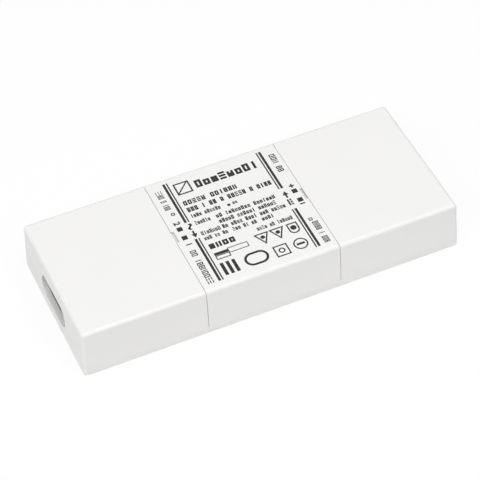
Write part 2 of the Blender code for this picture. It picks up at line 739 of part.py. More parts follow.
def build_terminal(end, body_material, steel, brass):
    """A two-pole block on the board, facing the cable entry, with its cages and screws."""
    side = ENDS[end]
    half_depth = TERMINAL_DEPTH / 2
    half_width = POLE_PITCH + POLE_MARGIN
    web_top = TERMINAL_HEIGHT - WELL_DEPTH
    bm = blank()
    add_block(bm, (-half_depth, -half_width, REST_GAP), (half_depth, half_width, TERMINAL_HEIGHT))
    inner_edge = [e for e in bm.edges if all(v.co.z > TERMINAL_HEIGHT / 2 and v.co.x * side < 0
                                             for v in e.verts)]
    round_edges(bm, inner_edge, TERMINAL_CHAMFER, CHAMFER_STEPS)
    block = link_mesh(f"{end}_terminal_block", bm, body_material)
    block.location = (side * TERMINAL_X, 0, BOARD_TOP)
    pocket_end = half_depth - POCKET_DEPTH
    near, far = sorted((side * pocket_end, side * (half_depth + POCKET_DEPTH)))
    bm = blank()
    for y in pole_places():
        add_block(bm, (near, y - POCKET_WIDTH / 2, POCKET_LIFT),
                  (far, y + POCKET_WIDTH / 2, POCKET_LIFT + POCKET_HEIGHT), POCKET_CORNER,
                  along=0, steps=CHAMFER_STEPS)
    cut(block, bm, "wire_pockets")
    screw_x = side * (pocket_end + CAGE_CLEARANCE + CAGE_LENGTH / 2)
    pocket_middle = POCKET_LIFT + POCKET_HEIGHT / 2
    shank_hole = POLE_SHANK_RADIUS + SCREW_CLEARANCE
    for label, radius, bottom in (("wells", WELL_RADIUS, web_top),
                                  ("shank_holes", shank_hole, pocket_middle)):
        bm = blank()
        for y in pole_places():
            add_rod(bm, (screw_x, y, bottom), (screw_x, y, 2 * TERMINAL_HEIGHT), radius, SCREW_SIDES)
        cut(block, bm, label)
    rear_x = -side * (half_depth - (TERMINAL_DEPTH - POCKET_DEPTH) / 2)
    add_pins(block, [(rear_x, y) for y in pole_places()], STOUT_PIN_RADIUS)
    for number, y in enumerate(pole_places(), 1):
        x = block.location.x + screw_x
        build_cage(f"{end}_terminal_cage_{number}", x, y, brass)
        seat = (x, y, BOARD_TOP + web_top + REST_GAP)
        build_pole_screw(f"{end}_terminal_screw_{number}", seat, steel)


def build_cage(name, x, y, material):
    """The clamping cage: a square tube for the wire, with the screw's hole in its roof."""
    half_width = POCKET_WIDTH / 2 - CAGE_CLEARANCE
    low = POCKET_LIFT + CAGE_CLEARANCE
    high = POCKET_LIFT + POCKET_HEIGHT - CAGE_CLEARANCE
    half = CAGE_LENGTH / 2
    bm = blank()
    add_block(bm, (-half, -half_width, low), (half, half_width, high))
    cage = link_mesh(name, bm, material)
    cage.location = (x, y, BOARD_TOP)
    bm = blank()
    add_block(bm, (-CAGE_LENGTH, -half_width + CAGE_WALL, low + CAGE_WALL),
              (CAGE_LENGTH, half_width - CAGE_WALL, high - CAGE_WALL))
    cut(cage, bm, "wire_way")
    bm = blank()
    add_rod(bm, (0, 0, (low + high) / 2), (0, 0, 2 * high), POLE_SHANK_RADIUS + SCREW_CLEARANCE,
            SMALL_SIDES)
    cut(cage, bm, "screw_hole")


def build_pole_screw(name, seat, material):
    """A slotted terminal screw, seated on the web of its well."""
    head, rise = POLE_SCREW_RADIUS, POLE_SCREW_HEAD
    shank, length = POLE_SHANK_RADIUS, POLE_SHANK_LENGTH
    profile = [(0, rise), (head - DRIVER_SLOT / 2, rise), (head, rise - DRIVER_SLOT / 2), (head, 0),
               (shank, 0), (shank, -length), (0, -length)]
    screw = turned(name, profile, material, SCREW_SIDES)
    screw.location = seat
    bm = blank()
    add_block(bm, (-DRIVER_SLOT / 2, -2 * head, rise / 2), (DRIVER_SLOT / 2, 2 * head, 2 * rise))
    cut(screw, bm, "driver_slot")


# Parts on the board

def add_pins(part, places, radius=PIN_RADIUS, top=REST_GAP + PIN_BITE):
    """Fuses round pins under a part and notes where the board is drilled for them."""
    bm = blank()
    for x, y in places:
        add_rod(bm, (x, y, -BOARD_THICKNESS - PIN_TAIL), (x, y, top), radius, PIN_SIDES)
        drill_places.append((part.location.x + x, part.location.y + y, radius + DRILL_CLEARANCE))
    join(part, bm, "pins")


def build_box_part(name, size, x, y, material, radius=BOX_EDGE):
    """A box-shaped part with a pin near each end along Y."""
    half_x, half_y = size[0] / 2, size[1] / 2
    bm = blank()
    add_soft_block(bm, (-half_x, -half_y, REST_GAP), (half_x, half_y, size[2]), radius)
    part = link_mesh(name, bm, material)
    part.location = (x, y, BOARD_TOP)
    add_pins(part, [(0, sign * (half_y - LEAD_INSET)) for sign in (-1, 1)], top=REST_GAP + radius + PIN_BITE)


def build_disc_part(name, diameter, thickness, x, y, material):
    """A coated disc that stands on edge, with two pins."""
    radius = diameter / 2
    bm = blank()
    lift = REST_GAP + radius
    add_rod(bm, (0, -thickness / 2, lift), (0, thickness / 2, lift), radius, rim=DISC_EDGE)
    part = link_mesh(name, bm, material)
    part.location = (x, y, BOARD_TOP)
    add_pins(part, [(sign * DISC_LEAD_PITCH / 2, 0) for sign in (-1, 1)], top=lift)


def build_choke(name, diameter, height, x, y, material):
    """A wound drum in a shrink sleeve: round shoulders, a slight waist and two pins."""
    radius = diameter / 2
    waist = radius - CHOKE_WAIST
    slope = 2 * CHOKE_WAIST
    rim_top, rim_bottom = height - CHOKE_RIM, REST_GAP + CHOKE_RIM
    profile = [(0, height), (radius - CHOKE_SHOULDER, height), (radius, height - CHOKE_SHOULDER),
               (radius, rim_top), (waist, rim_top - slope), (waist, rim_bottom + slope),
               (radius, rim_bottom), (radius, REST_GAP + CHOKE_SHOULDER),
               (radius - CHOKE_SHOULDER, REST_GAP), (0, REST_GAP)]
    part = turned(name, profile, material)
    part.location = (x, y, BOARD_TOP)
    add_pins(part, [(0, sign * CHOKE_LEAD_PITCH / 2) for sign in (-1, 1)])


def can_profile(radius, low, high):
    """Half the section of an electrolytic can, from its top down to its grooved, sealed end."""
    groove = low + CAN_GROOVE_LIFT
    return [(0, high), (radius - CAN_EDGE, high), (radius, high - CAN_EDGE),
            (radius, groove + CAN_GROOVE), (radius - CAN_GROOVE, groove), (radius, groove - CAN_GROOVE),
            (radius, low + CAN_EDGE), (radius - CAN_EDGE, low), (0, low)]


def build_standing_can(name, diameter, height, x, y, material):
    part = turned(name, can_profile(diameter / 2, REST_GAP, height), material)
    part.location = (x, y, BOARD_TOP)
    add_pins(part, [(0, sign * CAN_LEAD_PITCH / 2) for sign in (-1, 1)])


def build_lying_can(name, diameter, length, x, y, material):
    """An electrolytic on its side along Y, with its two pins bent down into the board."""
    radius = diameter / 2
    part = turned(name, can_profile(radius, -length / 2, length / 2), material)
    lift = REST_GAP + radius
    part.rotation_euler = (radians(90), 0, 0)
    part.location = (x, y, BOARD_TOP + lift)
    base_y = length / 2
    drop_y = base_y + PART_GAP
    for label, sign in (("left_pin", -1), ("right_pin", 1)):
        pin_x = sign * CAN_LEAD_PITCH / 2
        bm = blank()
        sweep_pin(bm, [(pin_x, base_y - PIN_BITE, 0), (pin_x, drop_y - PIN_RADIUS, 0),
                       (pin_x, drop_y, -PIN_RADIUS),
                       (pin_x, drop_y, -lift - BOARD_THICKNESS - PIN_TAIL)])
        join(part, bm, label)
        drill_places.append((x + pin_x, y + drop_y, PIN_RADIUS + DRILL_CLEARANCE))


def sweep_pin(bm, route):
    """A bent wire along points that lie in a plane of constant X, made as one bevelled curve."""
    curve = bpy.data.curves.new("wire", "CURVE")
    curve.dimensions = "3D"
    curve.bevel_depth = PIN_RADIUS
    curve.bevel_resolution = 1
    curve.use_fill_caps = True
    spline = curve.splines.new("POLY")
    spline.points.add(len(route) - 1)
    for point, place in zip(spline.points, route):
        point.co = (*place, 1.0)
    wire = bpy.data.objects.new("wire", curve)
    cutters.objects.link(wire)
    bpy.context.view_layer.update()
    mesh = bpy.data.meshes.new_from_object(wire.evaluated_get(bpy.context.evaluated_depsgraph_get()))
    bm.from_mesh(mesh)
    bmesh.ops.remove_doubles(bm, verts=bm.verts[:], dist=MERGE_DISTANCE)
    bmesh.ops.recalc_face_normals(bm, faces=bm.faces[:])
    bpy.data.objects.remove(wire)
    bpy.data.curves.remove(curve)
    bpy.data.meshes.remove(mesh)


def build_surface_part(name, size, x, y, material, tabs_per_side, along_x=True):
    """A flat moulded package with a row of tabs on two sides, which rest on the board."""
    half_x, half_y = size[0] / 2, size[1] / 2
    bm = blank()
    add_soft_block(bm, (-half_x, -half_y, REST_GAP + TAB_THICKNESS / 2),
                   (half_x, half_y, REST_GAP + size[2]), PACKAGE_EDGE, CHAMFER_STEPS)
    part = link_mesh(name, bm, material)
    part.location = (x, y, BOARD_TOP)
    row = size[1] if along_x else size[0]
    pitch = row / tabs_per_side
    half_tab = pitch * TAB_SHARE / 2
    bm = blank()
    for number in range(tabs_per_side):
        middle = (number - (tabs_per_side - 1) / 2) * pitch
        for sign in (-1, 1):
            edge = half_x if along_x else half_y
            near, far = sorted((sign * (edge - 2 * TAB_THICKNESS), sign * (edge + TAB_REACH)))
            low, high = middle - half_tab, middle + half_tab
            if along_x:
                add_block(bm, (near, low, REST_GAP), (far, high, REST_GAP + TAB_THICKNESS))
            else:
                add_block(bm, (low, near, REST_GAP), (high, far, REST_GAP + TAB_THICKNESS))
    join(part, bm, "tabs")


def build_chip(name, x, y, material):
    half_x, half_y = CHIP_SIZE[0] / 2, CHIP_SIZE[1] / 2
    bm = blank()
    add_block(bm, (-half_x, -half_y, REST_GAP), (half_x, half_y, REST_GAP + CHIP_SIZE[2]))
    chip = link_mesh(name, bm, material)
    chip.location = (x, y, BOARD_TOP)


# Transformer

def build_transformer(x, y, black, yellow, ferrite):
    build_former(x, y, black)
    half = FORMER_LENGTH / 2 - FORMER_WALL - FORMER_CLEARANCE
    bm = blank()
    add_block(bm, (-half, -WOUND_Y, -WOUND_Z), (half, WOUND_Y, WOUND_Z), WINDING_RADIUS, along=0,
              steps=WINDING_STEPS)
    winding = link_mesh("transformer_winding", bm, yellow)
    winding.location = (x, y, BOARD_TOP + TRANSFORMER_AXIS)
    inner_y, inner_z = TUBE_Y + FORMER_CLEARANCE, TUBE_Z + FORMER_CLEARANCE
    bm = blank()
    add_block(bm, (-FORMER_LENGTH, -inner_y, -inner_z), (FORMER_LENGTH, inner_y, inner_z))
    cut(winding, bm, "bore")
    for name, side in (("transformer_core_left", -1), ("transformer_core_right", 1)):
        build_core_half(name, side, x, y, ferrite)


def build_former(x, y, material):
    """The coil former: a square tube with a flange and a pin rail at each end."""
    half = FORMER_LENGTH / 2
    axis = TRANSFORMER_AXIS
    bm = blank()
    add_block(bm, (-half, -TUBE_Y, axis - TUBE_Z), (half, TUBE_Y, axis + TUBE_Z))
    former = link_mesh("transformer_former", bm, material)
    former.location = (x, y, BOARD_TOP)
    flange_y, flange_z = WOUND_Y + FLANGE_LAP, WOUND_Z + FLANGE_LAP
    rail_top = axis - CORE_HEIGHT / 2 - FORMER_CLEARANCE
    flanges, rails = blank(), blank()
    for side in (-1, 1):
        near, far = sorted((side * half, side * (half - FORMER_WALL)))
        add_block(flanges, (near, -flange_y, axis - flange_z), (far, flange_y, axis + flange_z))
        near, far = sorted((side * (half - FORMER_WALL / 2), side * TRANSFORMER_LENGTH / 2))
        add_block(rails, (near, -TRANSFORMER_WIDTH / 2, REST_GAP), (far, TRANSFORMER_WIDTH / 2, rail_top))
    join(former, flanges, "flanges")
    join(former, rails, "rails")
    bm = blank()
    hole_y, hole_z = TUBE_Y - FORMER_WALL, TUBE_Z - FORMER_WALL
    add_block(bm, (-FORMER_LENGTH, -hole_y, axis - hole_z), (FORMER_LENGTH, hole_y, axis + hole_z))
    cut(former, bm, "leg_hole")
    first = -(TRANSFORMER_PINS - 1) / 2
    rail_x = (half + TRANSFORMER_LENGTH / 2) / 2
    add_pins(former, [(side * rail_x, (first + number) * TRANSFORMER_PIN_PITCH)
                      for side in (-1, 1) for number in range(TRANSFORMER_PINS)])


def build_core_half(name, side, x, y, material):
    """One E-shaped ferrite: a yoke with a middle leg and two side legs."""
    far_x, half_y, half_z = TRANSFORMER_LENGTH / 2, TRANSFORMER_WIDTH / 2, CORE_HEIGHT / 2
    bm = blank()
    low, high = sorted((side * (far_x - YOKE_THICKNESS), side * far_x))
    add_block(bm, (low, -half_y, -half_z), (high, half_y, half_z))
    core = link_mesh(name, bm, material)
    core.location = (x, y, BOARD_TOP + TRANSFORMER_AXIS)
    low, high = sorted((side * CORE_GLUE_GAP / 2, side * (far_x - YOKE_THICKNESS / 2)))
    bm = blank()
    add_block(bm, (low, -LEG_WIDTH / 2, -LEG_HEIGHT / 2), (high, LEG_WIDTH / 2, LEG_HEIGHT / 2))
    join(core, bm, "middle_leg")
    bm = blank()
    for sign in (-1, 1):
        near, far = sorted((sign * (half_y - SIDE_LEG_WIDTH), sign * half_y))
        add_block(bm, (low, near, -half_z), (high, far, half_z))
    join(core, bm, "side_legs")


# Layout of the board

def spread(sizes, span):
    """Middles of pieces laid in a row over a span, with the free space shared between them."""
    gap = (span - sum(sizes)) / (len(sizes) + 1)
    middles = []
    place = -span / 2
    for size in sizes:
        middles.append(place + gap + size / 2)
        place += gap + size
    return middles


def build_board(material):
    """The circuit board, drilled for every pin and for the base's locating pins."""
    half_y = BOARD_WIDTH / 2
    bm = blank()
    add_block(bm, (-BOARD_END, -half_y, BOARD_BOTTOM), (BOARD_END, half_y, BOARD_TOP), INNER_RADIUS)
    board = link_mesh("circuit_board", bm, material)
    holes = drill_places + [(x, y, POST_PIN_RADIUS + DRILL_CLEARANCE) for x, y in post_places()]
    bm = blank()
    for x, y, radius in holes:
        add_rod(bm, (x, y, BOARD_BOTTOM - BOARD_THICKNESS), (x, y, BOARD_TOP + BOARD_THICKNESS),
                radius, PIN_SIDES)
    cut(board, bm, "drillings")


def build_board_parts(looks):
    """Four columns of parts, from the mains side on the left to the lamp side on the right."""
    rectifier_row = RECTIFIER_SIZE[0] + 2 * TAB_REACH
    optocoupler_row = OPTOCOUPLER_SIZE[0] + 2 * TAB_REACH
    middle_width = max(TRANSFORMER_LENGTH, SAFETY_CAPACITOR_DIAMETER + rectifier_row + PART_GAP,
                       CONTROLLER_SIZE[0] + optocoupler_row + PART_GAP)
    widths = [max(FUSE_SIZE[0], VARISTOR_DIAMETER, FILTER_CAPACITOR_SIZE[0], CHOKE_DIAMETER),
              max(SUPPLY_CAPACITOR_DIAMETER, BUS_CAPACITOR_SIZE[0], BRIDGE_SIZE[0] + 2 * TAB_REACH,
                  CHOKE_DIAMETER),
              middle_width,
              max(OUTPUT_CAPACITOR_DIAMETER, OUTPUT_CHOKE_DIAMETER)]
    mains_x, filter_x, middle_x, lamp_x = spread(widths, 2 * (CENTRE_EDGE - FLANGE_ROOT))
    depth = BOARD_WIDTH - 2 * BOARD_MARGIN
    build_mains_column(mains_x, depth, looks)
    build_filter_column(filter_x, depth, looks)
    build_middle_column(middle_x, middle_width, depth, looks)
    build_lamp_column(lamp_x, depth, looks)


def build_mains_column(x, depth, looks):
    ys = spread([CHOKE_DIAMETER, FILTER_CAPACITOR_SIZE[1], VARISTOR_THICKNESS, FUSE_SIZE[1]], depth)
    build_choke("filter_choke_1", CHOKE_DIAMETER, CHOKE_HEIGHT, x, ys[0], looks["sleeve"])
    build_box_part("filter_capacitor", FILTER_CAPACITOR_SIZE, x, ys[1], looks["yellow"])
    build_disc_part("surge_varistor", VARISTOR_DIAMETER, VARISTOR_THICKNESS, x, ys[2], looks["blue"])
    build_box_part("mains_fuse", FUSE_SIZE, x, ys[3], looks["black"])


def build_filter_column(x, depth, looks):
    ys = spread([SUPPLY_CAPACITOR_DIAMETER, BUS_CAPACITOR_SIZE[1], BRIDGE_SIZE[1], CHOKE_DIAMETER], depth)
    build_standing_can("supply_capacitor", SUPPLY_CAPACITOR_DIAMETER, SUPPLY_CAPACITOR_HEIGHT,
                       x, ys[0], looks["sleeve"])
    build_box_part("bus_capacitor", BUS_CAPACITOR_SIZE, x, ys[1], looks["rust"], BUS_CAPACITOR_EDGE)
    build_surface_part("bridge_rectifier", BRIDGE_SIZE, x, ys[2], looks["black"], BRIDGE_TABS)
    build_choke("filter_choke_2", CHOKE_DIAMETER, CHOKE_HEIGHT, x, ys[3], looks["sleeve"])


def build_middle_column(x, width, depth, looks):
    """The transformer, with a row of power parts in front and the control parts behind it."""
    front_row = max(SAFETY_CAPACITOR_THICKNESS, RECTIFIER_SIZE[1])
    back_row = max(CONTROLLER_SIZE[1] + 2 * TAB_REACH, OPTOCOUPLER_SIZE[1])
    ys = spread([front_row, TRANSFORMER_WIDTH, back_row, CHIP_SIZE[1]], depth)
    front_xs = spread([SAFETY_CAPACITOR_DIAMETER, RECTIFIER_SIZE[0] + 2 * TAB_REACH], width)
    back_xs = spread([CONTROLLER_SIZE[0], OPTOCOUPLER_SIZE[0] + 2 * TAB_REACH], width)
    build_disc_part("safety_capacitor", SAFETY_CAPACITOR_DIAMETER, SAFETY_CAPACITOR_THICKNESS,
                    x + front_xs[0], ys[0], looks["blue"])
    build_surface_part("output_rectifier", RECTIFIER_SIZE, x + front_xs[1], ys[0], looks["black"],
                       RECTIFIER_TABS)
    build_transformer(x, ys[1], looks["black"], looks["yellow"], looks["ferrite"])
    build_surface_part("controller", CONTROLLER_SIZE, x + back_xs[0], ys[2], looks["black"],
                       CONTROLLER_TABS, False)
    build_surface_part("optocoupler", OPTOCOUPLER_SIZE, x + back_xs[1], ys[2], looks["black"],
                       OPTOCOUPLER_TABS)
    for number, offset in enumerate(spread([CHIP_SIZE[0]] * CHIP_COUNT, width), 1):
        build_chip(f"chip_resistor_{number}", x + offset, ys[3], looks["chip"])


def build_lamp_column(x, depth, looks):
    """The output choke and two capacitors on their sides, each with room for its bent pins."""
    pin_room = 2 * PART_GAP
    can_row = OUTPUT_CAPACITOR_LENGTH + pin_room
    ys = spread([OUTPUT_CHOKE_DIAMETER, can_row, can_row], depth)
    build_choke("output_choke", OUTPUT_CHOKE_DIAMETER, OUTPUT_CHOKE_HEIGHT, x, ys[0], looks["sleeve"])
    for number, y in enumerate(ys[1:], 1):
        build_lying_can(f"output_capacitor_{number}", OUTPUT_CAPACITOR_DIAMETER,
                        OUTPUT_CAPACITOR_LENGTH, x, y - pin_room / 2, looks["sleeve"])


def build():
    looks = make_materials()
    build_base(looks["housing"])
    build_centre_cover(looks["housing"])
    for end in ENDS:
        build_end_cover(end, looks["housing"])
        build_clamp(end, looks["clamp"], looks["steel"])
        build_terminal(end, looks["terminal"], looks["steel"], looks["brass"])
    build_board_parts(looks)
    build_board(looks["board"])


clear_scene()
parts = new_collection("led_driver")
cutters = new_collection("cutters")
build()
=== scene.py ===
"""The LED driver's finishes, print, light and camera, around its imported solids. Metres, +Z up."""

import json
from collections import namedtuple
from math import copysign, cos, pi, radians, sin

import bmesh
import bpy
from mathutils import Matrix, Vector


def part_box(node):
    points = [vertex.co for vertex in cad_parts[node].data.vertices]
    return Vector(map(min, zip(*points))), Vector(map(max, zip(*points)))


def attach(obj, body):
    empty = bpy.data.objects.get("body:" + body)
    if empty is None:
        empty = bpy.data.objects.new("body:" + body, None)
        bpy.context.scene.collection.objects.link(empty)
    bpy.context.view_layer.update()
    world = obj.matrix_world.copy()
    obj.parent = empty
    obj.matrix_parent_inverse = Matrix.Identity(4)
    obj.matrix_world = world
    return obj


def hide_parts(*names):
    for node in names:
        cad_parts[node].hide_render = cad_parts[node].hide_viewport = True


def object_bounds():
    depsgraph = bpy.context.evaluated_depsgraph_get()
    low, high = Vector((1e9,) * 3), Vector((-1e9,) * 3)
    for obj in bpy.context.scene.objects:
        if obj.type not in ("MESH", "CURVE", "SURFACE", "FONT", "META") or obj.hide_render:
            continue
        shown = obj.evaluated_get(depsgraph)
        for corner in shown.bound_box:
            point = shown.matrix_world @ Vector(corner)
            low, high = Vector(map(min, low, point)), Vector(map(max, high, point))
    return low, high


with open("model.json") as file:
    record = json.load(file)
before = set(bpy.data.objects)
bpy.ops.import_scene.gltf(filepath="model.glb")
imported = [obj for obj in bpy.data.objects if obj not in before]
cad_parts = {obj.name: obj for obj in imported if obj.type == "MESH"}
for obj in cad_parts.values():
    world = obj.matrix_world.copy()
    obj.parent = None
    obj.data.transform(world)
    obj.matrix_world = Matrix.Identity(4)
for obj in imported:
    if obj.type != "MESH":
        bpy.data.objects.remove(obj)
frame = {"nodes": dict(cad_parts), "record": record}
cad_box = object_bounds()

MM = 0.001

# Camera, as fitted to the outline corners in the photograph
CAMERA_AZIMUTH = -21.70
CAMERA_ELEVATION = 46.88
CAMERA_ROLL = -2.91
CAMERA_DISTANCE = 0.6532
LENS = 160.52
SENSOR = 36.0
PHOTO_SIZE = 480
CENTRE_RIGHT_PX = 1.99
CENTRE_DOWN_PX = 14.01
CLIP_START = 0.01

# Light: each lamp's turn from the front and rise in degrees, distance and size in metres, and watts
WORLD_LEVEL = 0.05
LAMPS = {
    "key": (-45, 50, 1.3, 0.5, 4.2),
    "overhead": (90, 80, 1.2, 1.4, 11.7),
    "front_fill": (15, 42, 1.3, 0.8, 2.85),
    "left_fill": (-85, 35, 1.3, 0.8, 3.5),
}
WHITE = (1.0, 1.0, 1.0, 1.0)
FLOOR_SIZE = 6.0
FLOOR_PATCH = 0.4
FLOOR_TONES = ((0.94, 0.94, 0.94, 1.0), (0.96, 0.96, 0.96, 1.0))
FLOOR_ROUGHNESS = 0.9
FLOOR_WHITE_SHARE = 0.86

# Places shared with the solids
BODY_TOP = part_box("centre_cover")[1].z
COVER_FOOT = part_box("centre_cover")[0].z
BOARD_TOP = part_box("circuit_board")[1].z
WALL = 2.0 * MM
WALL_SLACK = 0.1 * MM
INNER_WALL_X = cad_box[1][0] - WALL
ENTRY_REACH = 10.5 * MM
ENTRY_FOOT = 4.3 * MM
ENTRY_HEAD = 12.3 * MM
ENTRY_CHAMFER = 0.24 * MM
NOTCH_X = 21.0 * MM
NOTCH_REACH = 0.6 * MM
NOTCH_HALF_LENGTH = 2.4 * MM
NOTCH_DEPTH = 0.8 * MM
PARTING_CLOSURE = 0.055 * MM
LEAD_GAP = 0.25 * MM
MERGE_DISTANCE = 0.001 * MM
FLAT_ANGLE = radians(0.5)
SHARP_ANGLE = radians(32)

# Solids by what their dressed copies need
END_COVERS = {"input_cover", "output_cover"}
COVERS = {"centre_cover"} | END_COVERS
HOLLOW = {"base"} | END_COVERS
LEADED = {"input_terminal_block", "output_terminal_block", "mains_fuse", "surge_varistor",
          "filter_capacitor", "filter_choke_1", "filter_choke_2", "bus_capacitor",
          "supply_capacitor", "transformer_former", "safety_capacitor", "output_choke",
          "output_capacitor_1", "output_capacitor_2"}

# Print on the middle cover, in millimetres from the body's middle. Its pieces are then shifted
# along X and stretched along Y
INK_RISE = 0.015
INK_BITE = 0.02
LABEL_SHIFT = 0.13
LABEL_STRETCH = 1.010
OUTLINE = 0.44
FINE_OUTLINE = 0.27
CIRCLE_SIDES = 48
DOT_SIDES = 24

# The rules down both sides, from foot to top on the left (-1) and the right (1) side
RULES = ((16.0, 0.8), (15.0, 0.42))
RULE_SPANS = {-1: ((4.1, 21.8), (-21.5, -3.25)), 1: ((4.85, 22.0), (-21.5, -4.5))}

# Small print: figures, given as the strokes that each has, stand in the places of letters. A line
# has its ends, base line, height, number of figures in each word, first figure and stroke. Where it
# isn't all capitals, every third figure is tall
GLYPHS = ("left right head foot", "left right head middle foot", "left", "left right head foot",
          "head middle foot", "left right head foot", "left right", "left right head middle foot",
          "left right head foot", "left right middle foot", "head middle foot")
GLYPH_STEP = 5
TALL_STEP = 3
GLYPH_WIDTH = 0.8
SMALL_HEIGHT = 0.78
LABEL_LEFT = -13.6
COLUMN_LEFT = -6.75
Line = namedtuple("Line", "left right base height words first stroke capitals", defaults=(False,))
SMALL_PRINT = (
    Line(-7.2, 13.4, 16.1, 3.2, (8,), 0, 0.82),
    Line(LABEL_LEFT, 3.8, 10.7, 1.9, (5, 6), 0, 0.48, capitals=True),
    Line(LABEL_LEFT, 13.9, 7.7, 1.9, (3, 1, 2, 1, 5, 1, 4), 4, 0.45, capitals=True),
    Line(LABEL_LEFT, -4.1, 5.05, 1.6, (4, 6), 7, 0.32),
    Line(-0.1, 1.4, 5.1, 1.3, (2,), 1, 0.28),
    Line(LABEL_LEFT, -8.75, 1.95, 1.6, (6,), 3, 0.30),
    Line(COLUMN_LEFT, 12.5, 1.95, 1.6, (2, 8, 7), 5, 0.36),
    Line(COLUMN_LEFT, 11.75, -0.4, 1.65, (5, 6, 6), 8, 0.35),
    Line(LABEL_LEFT, -7.5, -2.8, 1.65, (7,), 6, 0.29),
    Line(COLUMN_LEFT, 13.75, -2.8, 1.65, (2, 4, 4, 3, 5), 9, 0.35),
    Line(LABEL_LEFT, -6.1, -5.05, 1.55, (3, 2, 2), 10, 0.31),
    Line(-4.4, 3.3, -5.05, 1.55, (3, 2, 2), 3, 0.32),
    Line(5.1, 8.9, -5.05, 1.55, (4,), 4, 0.36),
    Line(2.1, 13.6, -8.15, 1.55, (4, 2, 6), 1, 0.29),
    Line(LABEL_LEFT, -5.4, -9.05, 2.1, (4,), 9, 0.7, capitals=True),
)
DOT_PLACE = (-1.4, 5.4)
DOT_RADIUS = 0.52

# Turned lines between the rules and the seams, drawn from start to end along Y
TURNED_X = {-1: -18.7, 1: 18.9}
TURNED_HEIGHT = 1.9
TurnedLine = namedtuple("TurnedLine", "side start end words first stroke")
TURNED_PRINT = (
    TurnedLine(-1, 19.6, 11.2, (4, 1, 3), 2, 0.24),
    TurnedLine(-1, -7.1, -21.4, (2, 8), 5, 0.32),
    TurnedLine(1, 11.5, 19.5, (2, 3), 8, 0.34),
    TurnedLine(1, -21.0, -11.8, (3, 1, 4), 4, 0.28),
)
SMALL_SQUARES = ((-18.1, 9.0), (18.2, -10.5))
SMALL_SQUARE_HALF = 0.6
SMALL_SQUARE_STROKE = 0.31
TERMINAL_SQUARES = ((-1, 2.4), (-1, -1.4), (1, 2.2), (1, -1.8))
TERMINAL_SQUARE_HALF = 0.85
SIGN_ARM = 0.8
PLUS_Y = 4.55
PLUS_HALF_STROKE = 0.25
MINUS_FOOT = -3.8
MINUS_TOP = -3.3

# Terminal numbers: each one's place along Y and how far its strokes are thickened. A digit is about
# 0.7 of its font's size high
NUMBERS = {"2": (4.9, 0.1), "1": (-4.4, 0.06)}
NUMBER_HEIGHT = 1.9
DIGIT_SHARE = 0.7
DIGIT_CURVE_STEPS = 3

# Marks in the gaps of the rules, drawn along X and then turned
SHAFT_LENGTH = 1.3
SHAFT_HALF = 0.3
HEAD_LENGTH = 1.6
HEAD_HALF = 0.95
WAVE_STEPS = 16
WAVE_LENGTH = 2.6
WAVE_RISE = 0.45
WAVE_HALF_STROKE = 0.42
WAVE_TO_ARROW = 3.2
DASHES_LENGTH = 2.7
DASH_STARTS = (0.0, 0.95, 1.9)
DASH_LENGTH = 0.75
DASH_INNER = 0.15
DASH_OUTER = 0.7
DASHES_TO_ARROW = 3.3
WAVE_PLACE = (-15.5, 3.4)
DASHES_PLACE = (15.8, -2.8)

# Plain shapes in the lower rows and beside the heading
CROSSED_SQUARE = (-11.1, 17.9, 2.5)
CROSSED_STROKE = 0.5
DIAGONAL_REACH = 2.1
DIAGONAL_TIP = 0.1
DIAGONAL_WIDTH = 0.5
GUIDE_BAR = (-13.5, -12.0, -9.1, -10.9)
GUIDE_SLEEVE = (-9.1, -12.6, -2.6, -10.5)
GUIDE_BOX = (-13.5, -13.8, -9.0, -12.1)
GUIDE_BOX_STROKE = 0.31
MARKS_HEAD = -9.4
MARKS_HEIGHT = 4.7
TRIANGLE_LEFTS = (-0.1, 4.8)
TRIANGLE_HALF = 2.4
TRIANGLE_DOT_DROP = 1.7
TRIANGLE_DOT = 0.7
SHIELD_X = 12.15
SHIELD_HALF = 1.7
SHIELD_FOOT_SHARE = 1.2
SHIELD_FOOT_STEPS = 16
SHIELD_DOT_DROP = 2.0
SHIELD_DOT = 0.95
BAR_LEFTS = (-13.6, -11.75, -9.9)
BAR_WIDTH = 1.05
BARS_FOOT = -20.4
BARS_TOP = -15.3
OBLONG = (-2.7, -17.85, 3.8, 2.6)
OBLONG_STROKE = 0.78
OBLONG_END_STEPS = 20
RINGED_SQUARE = (5.25, -18.3, 2.25)
RING_RADIUS = 1.05
BARRED_CIRCLE = (11.4, -18.2, 2.25)
CIRCLE_BAR = (10.1, -18.6, 12.7, -17.8)


# Shader maths

# A Mix node's sockets, by number, when it mixes colours
MIX_SHARE = 0
MIX_FIRST = 6
MIX_SECOND = 7
MIX_RESULT = 2


class Field:
    """A socket whose values Python's operators work on, by adding Math nodes."""

    def __init__(self, finish, socket):
        self.finish = finish
        self.socket = socket

    def maths(self, operation, *values):
        """A Math node on the given values, which are fields or numbers."""
        made = self.finish.node("ShaderNodeMath", {"operation": operation}, dict(enumerate(values)))
        return made["Value"]

    def __add__(self, other):
        return self.maths("ADD", self, other)

    def __radd__(self, other):
        return self.maths("ADD", other, self)

    def __mul__(self, other):
        return self.maths("MULTIPLY", self, other)

    def __rmul__(self, other):
        return self.maths("MULTIPLY", other, self)

    def over(self, other):
        """One where this is greater than the other, and zero elsewhere."""
        return self.maths("GREATER_THAN", self, other)

    def clipped(self, low, high):
        """This, held between low and high."""
        return self.maths("MINIMUM", self.maths("MAXIMUM", self, low), high)


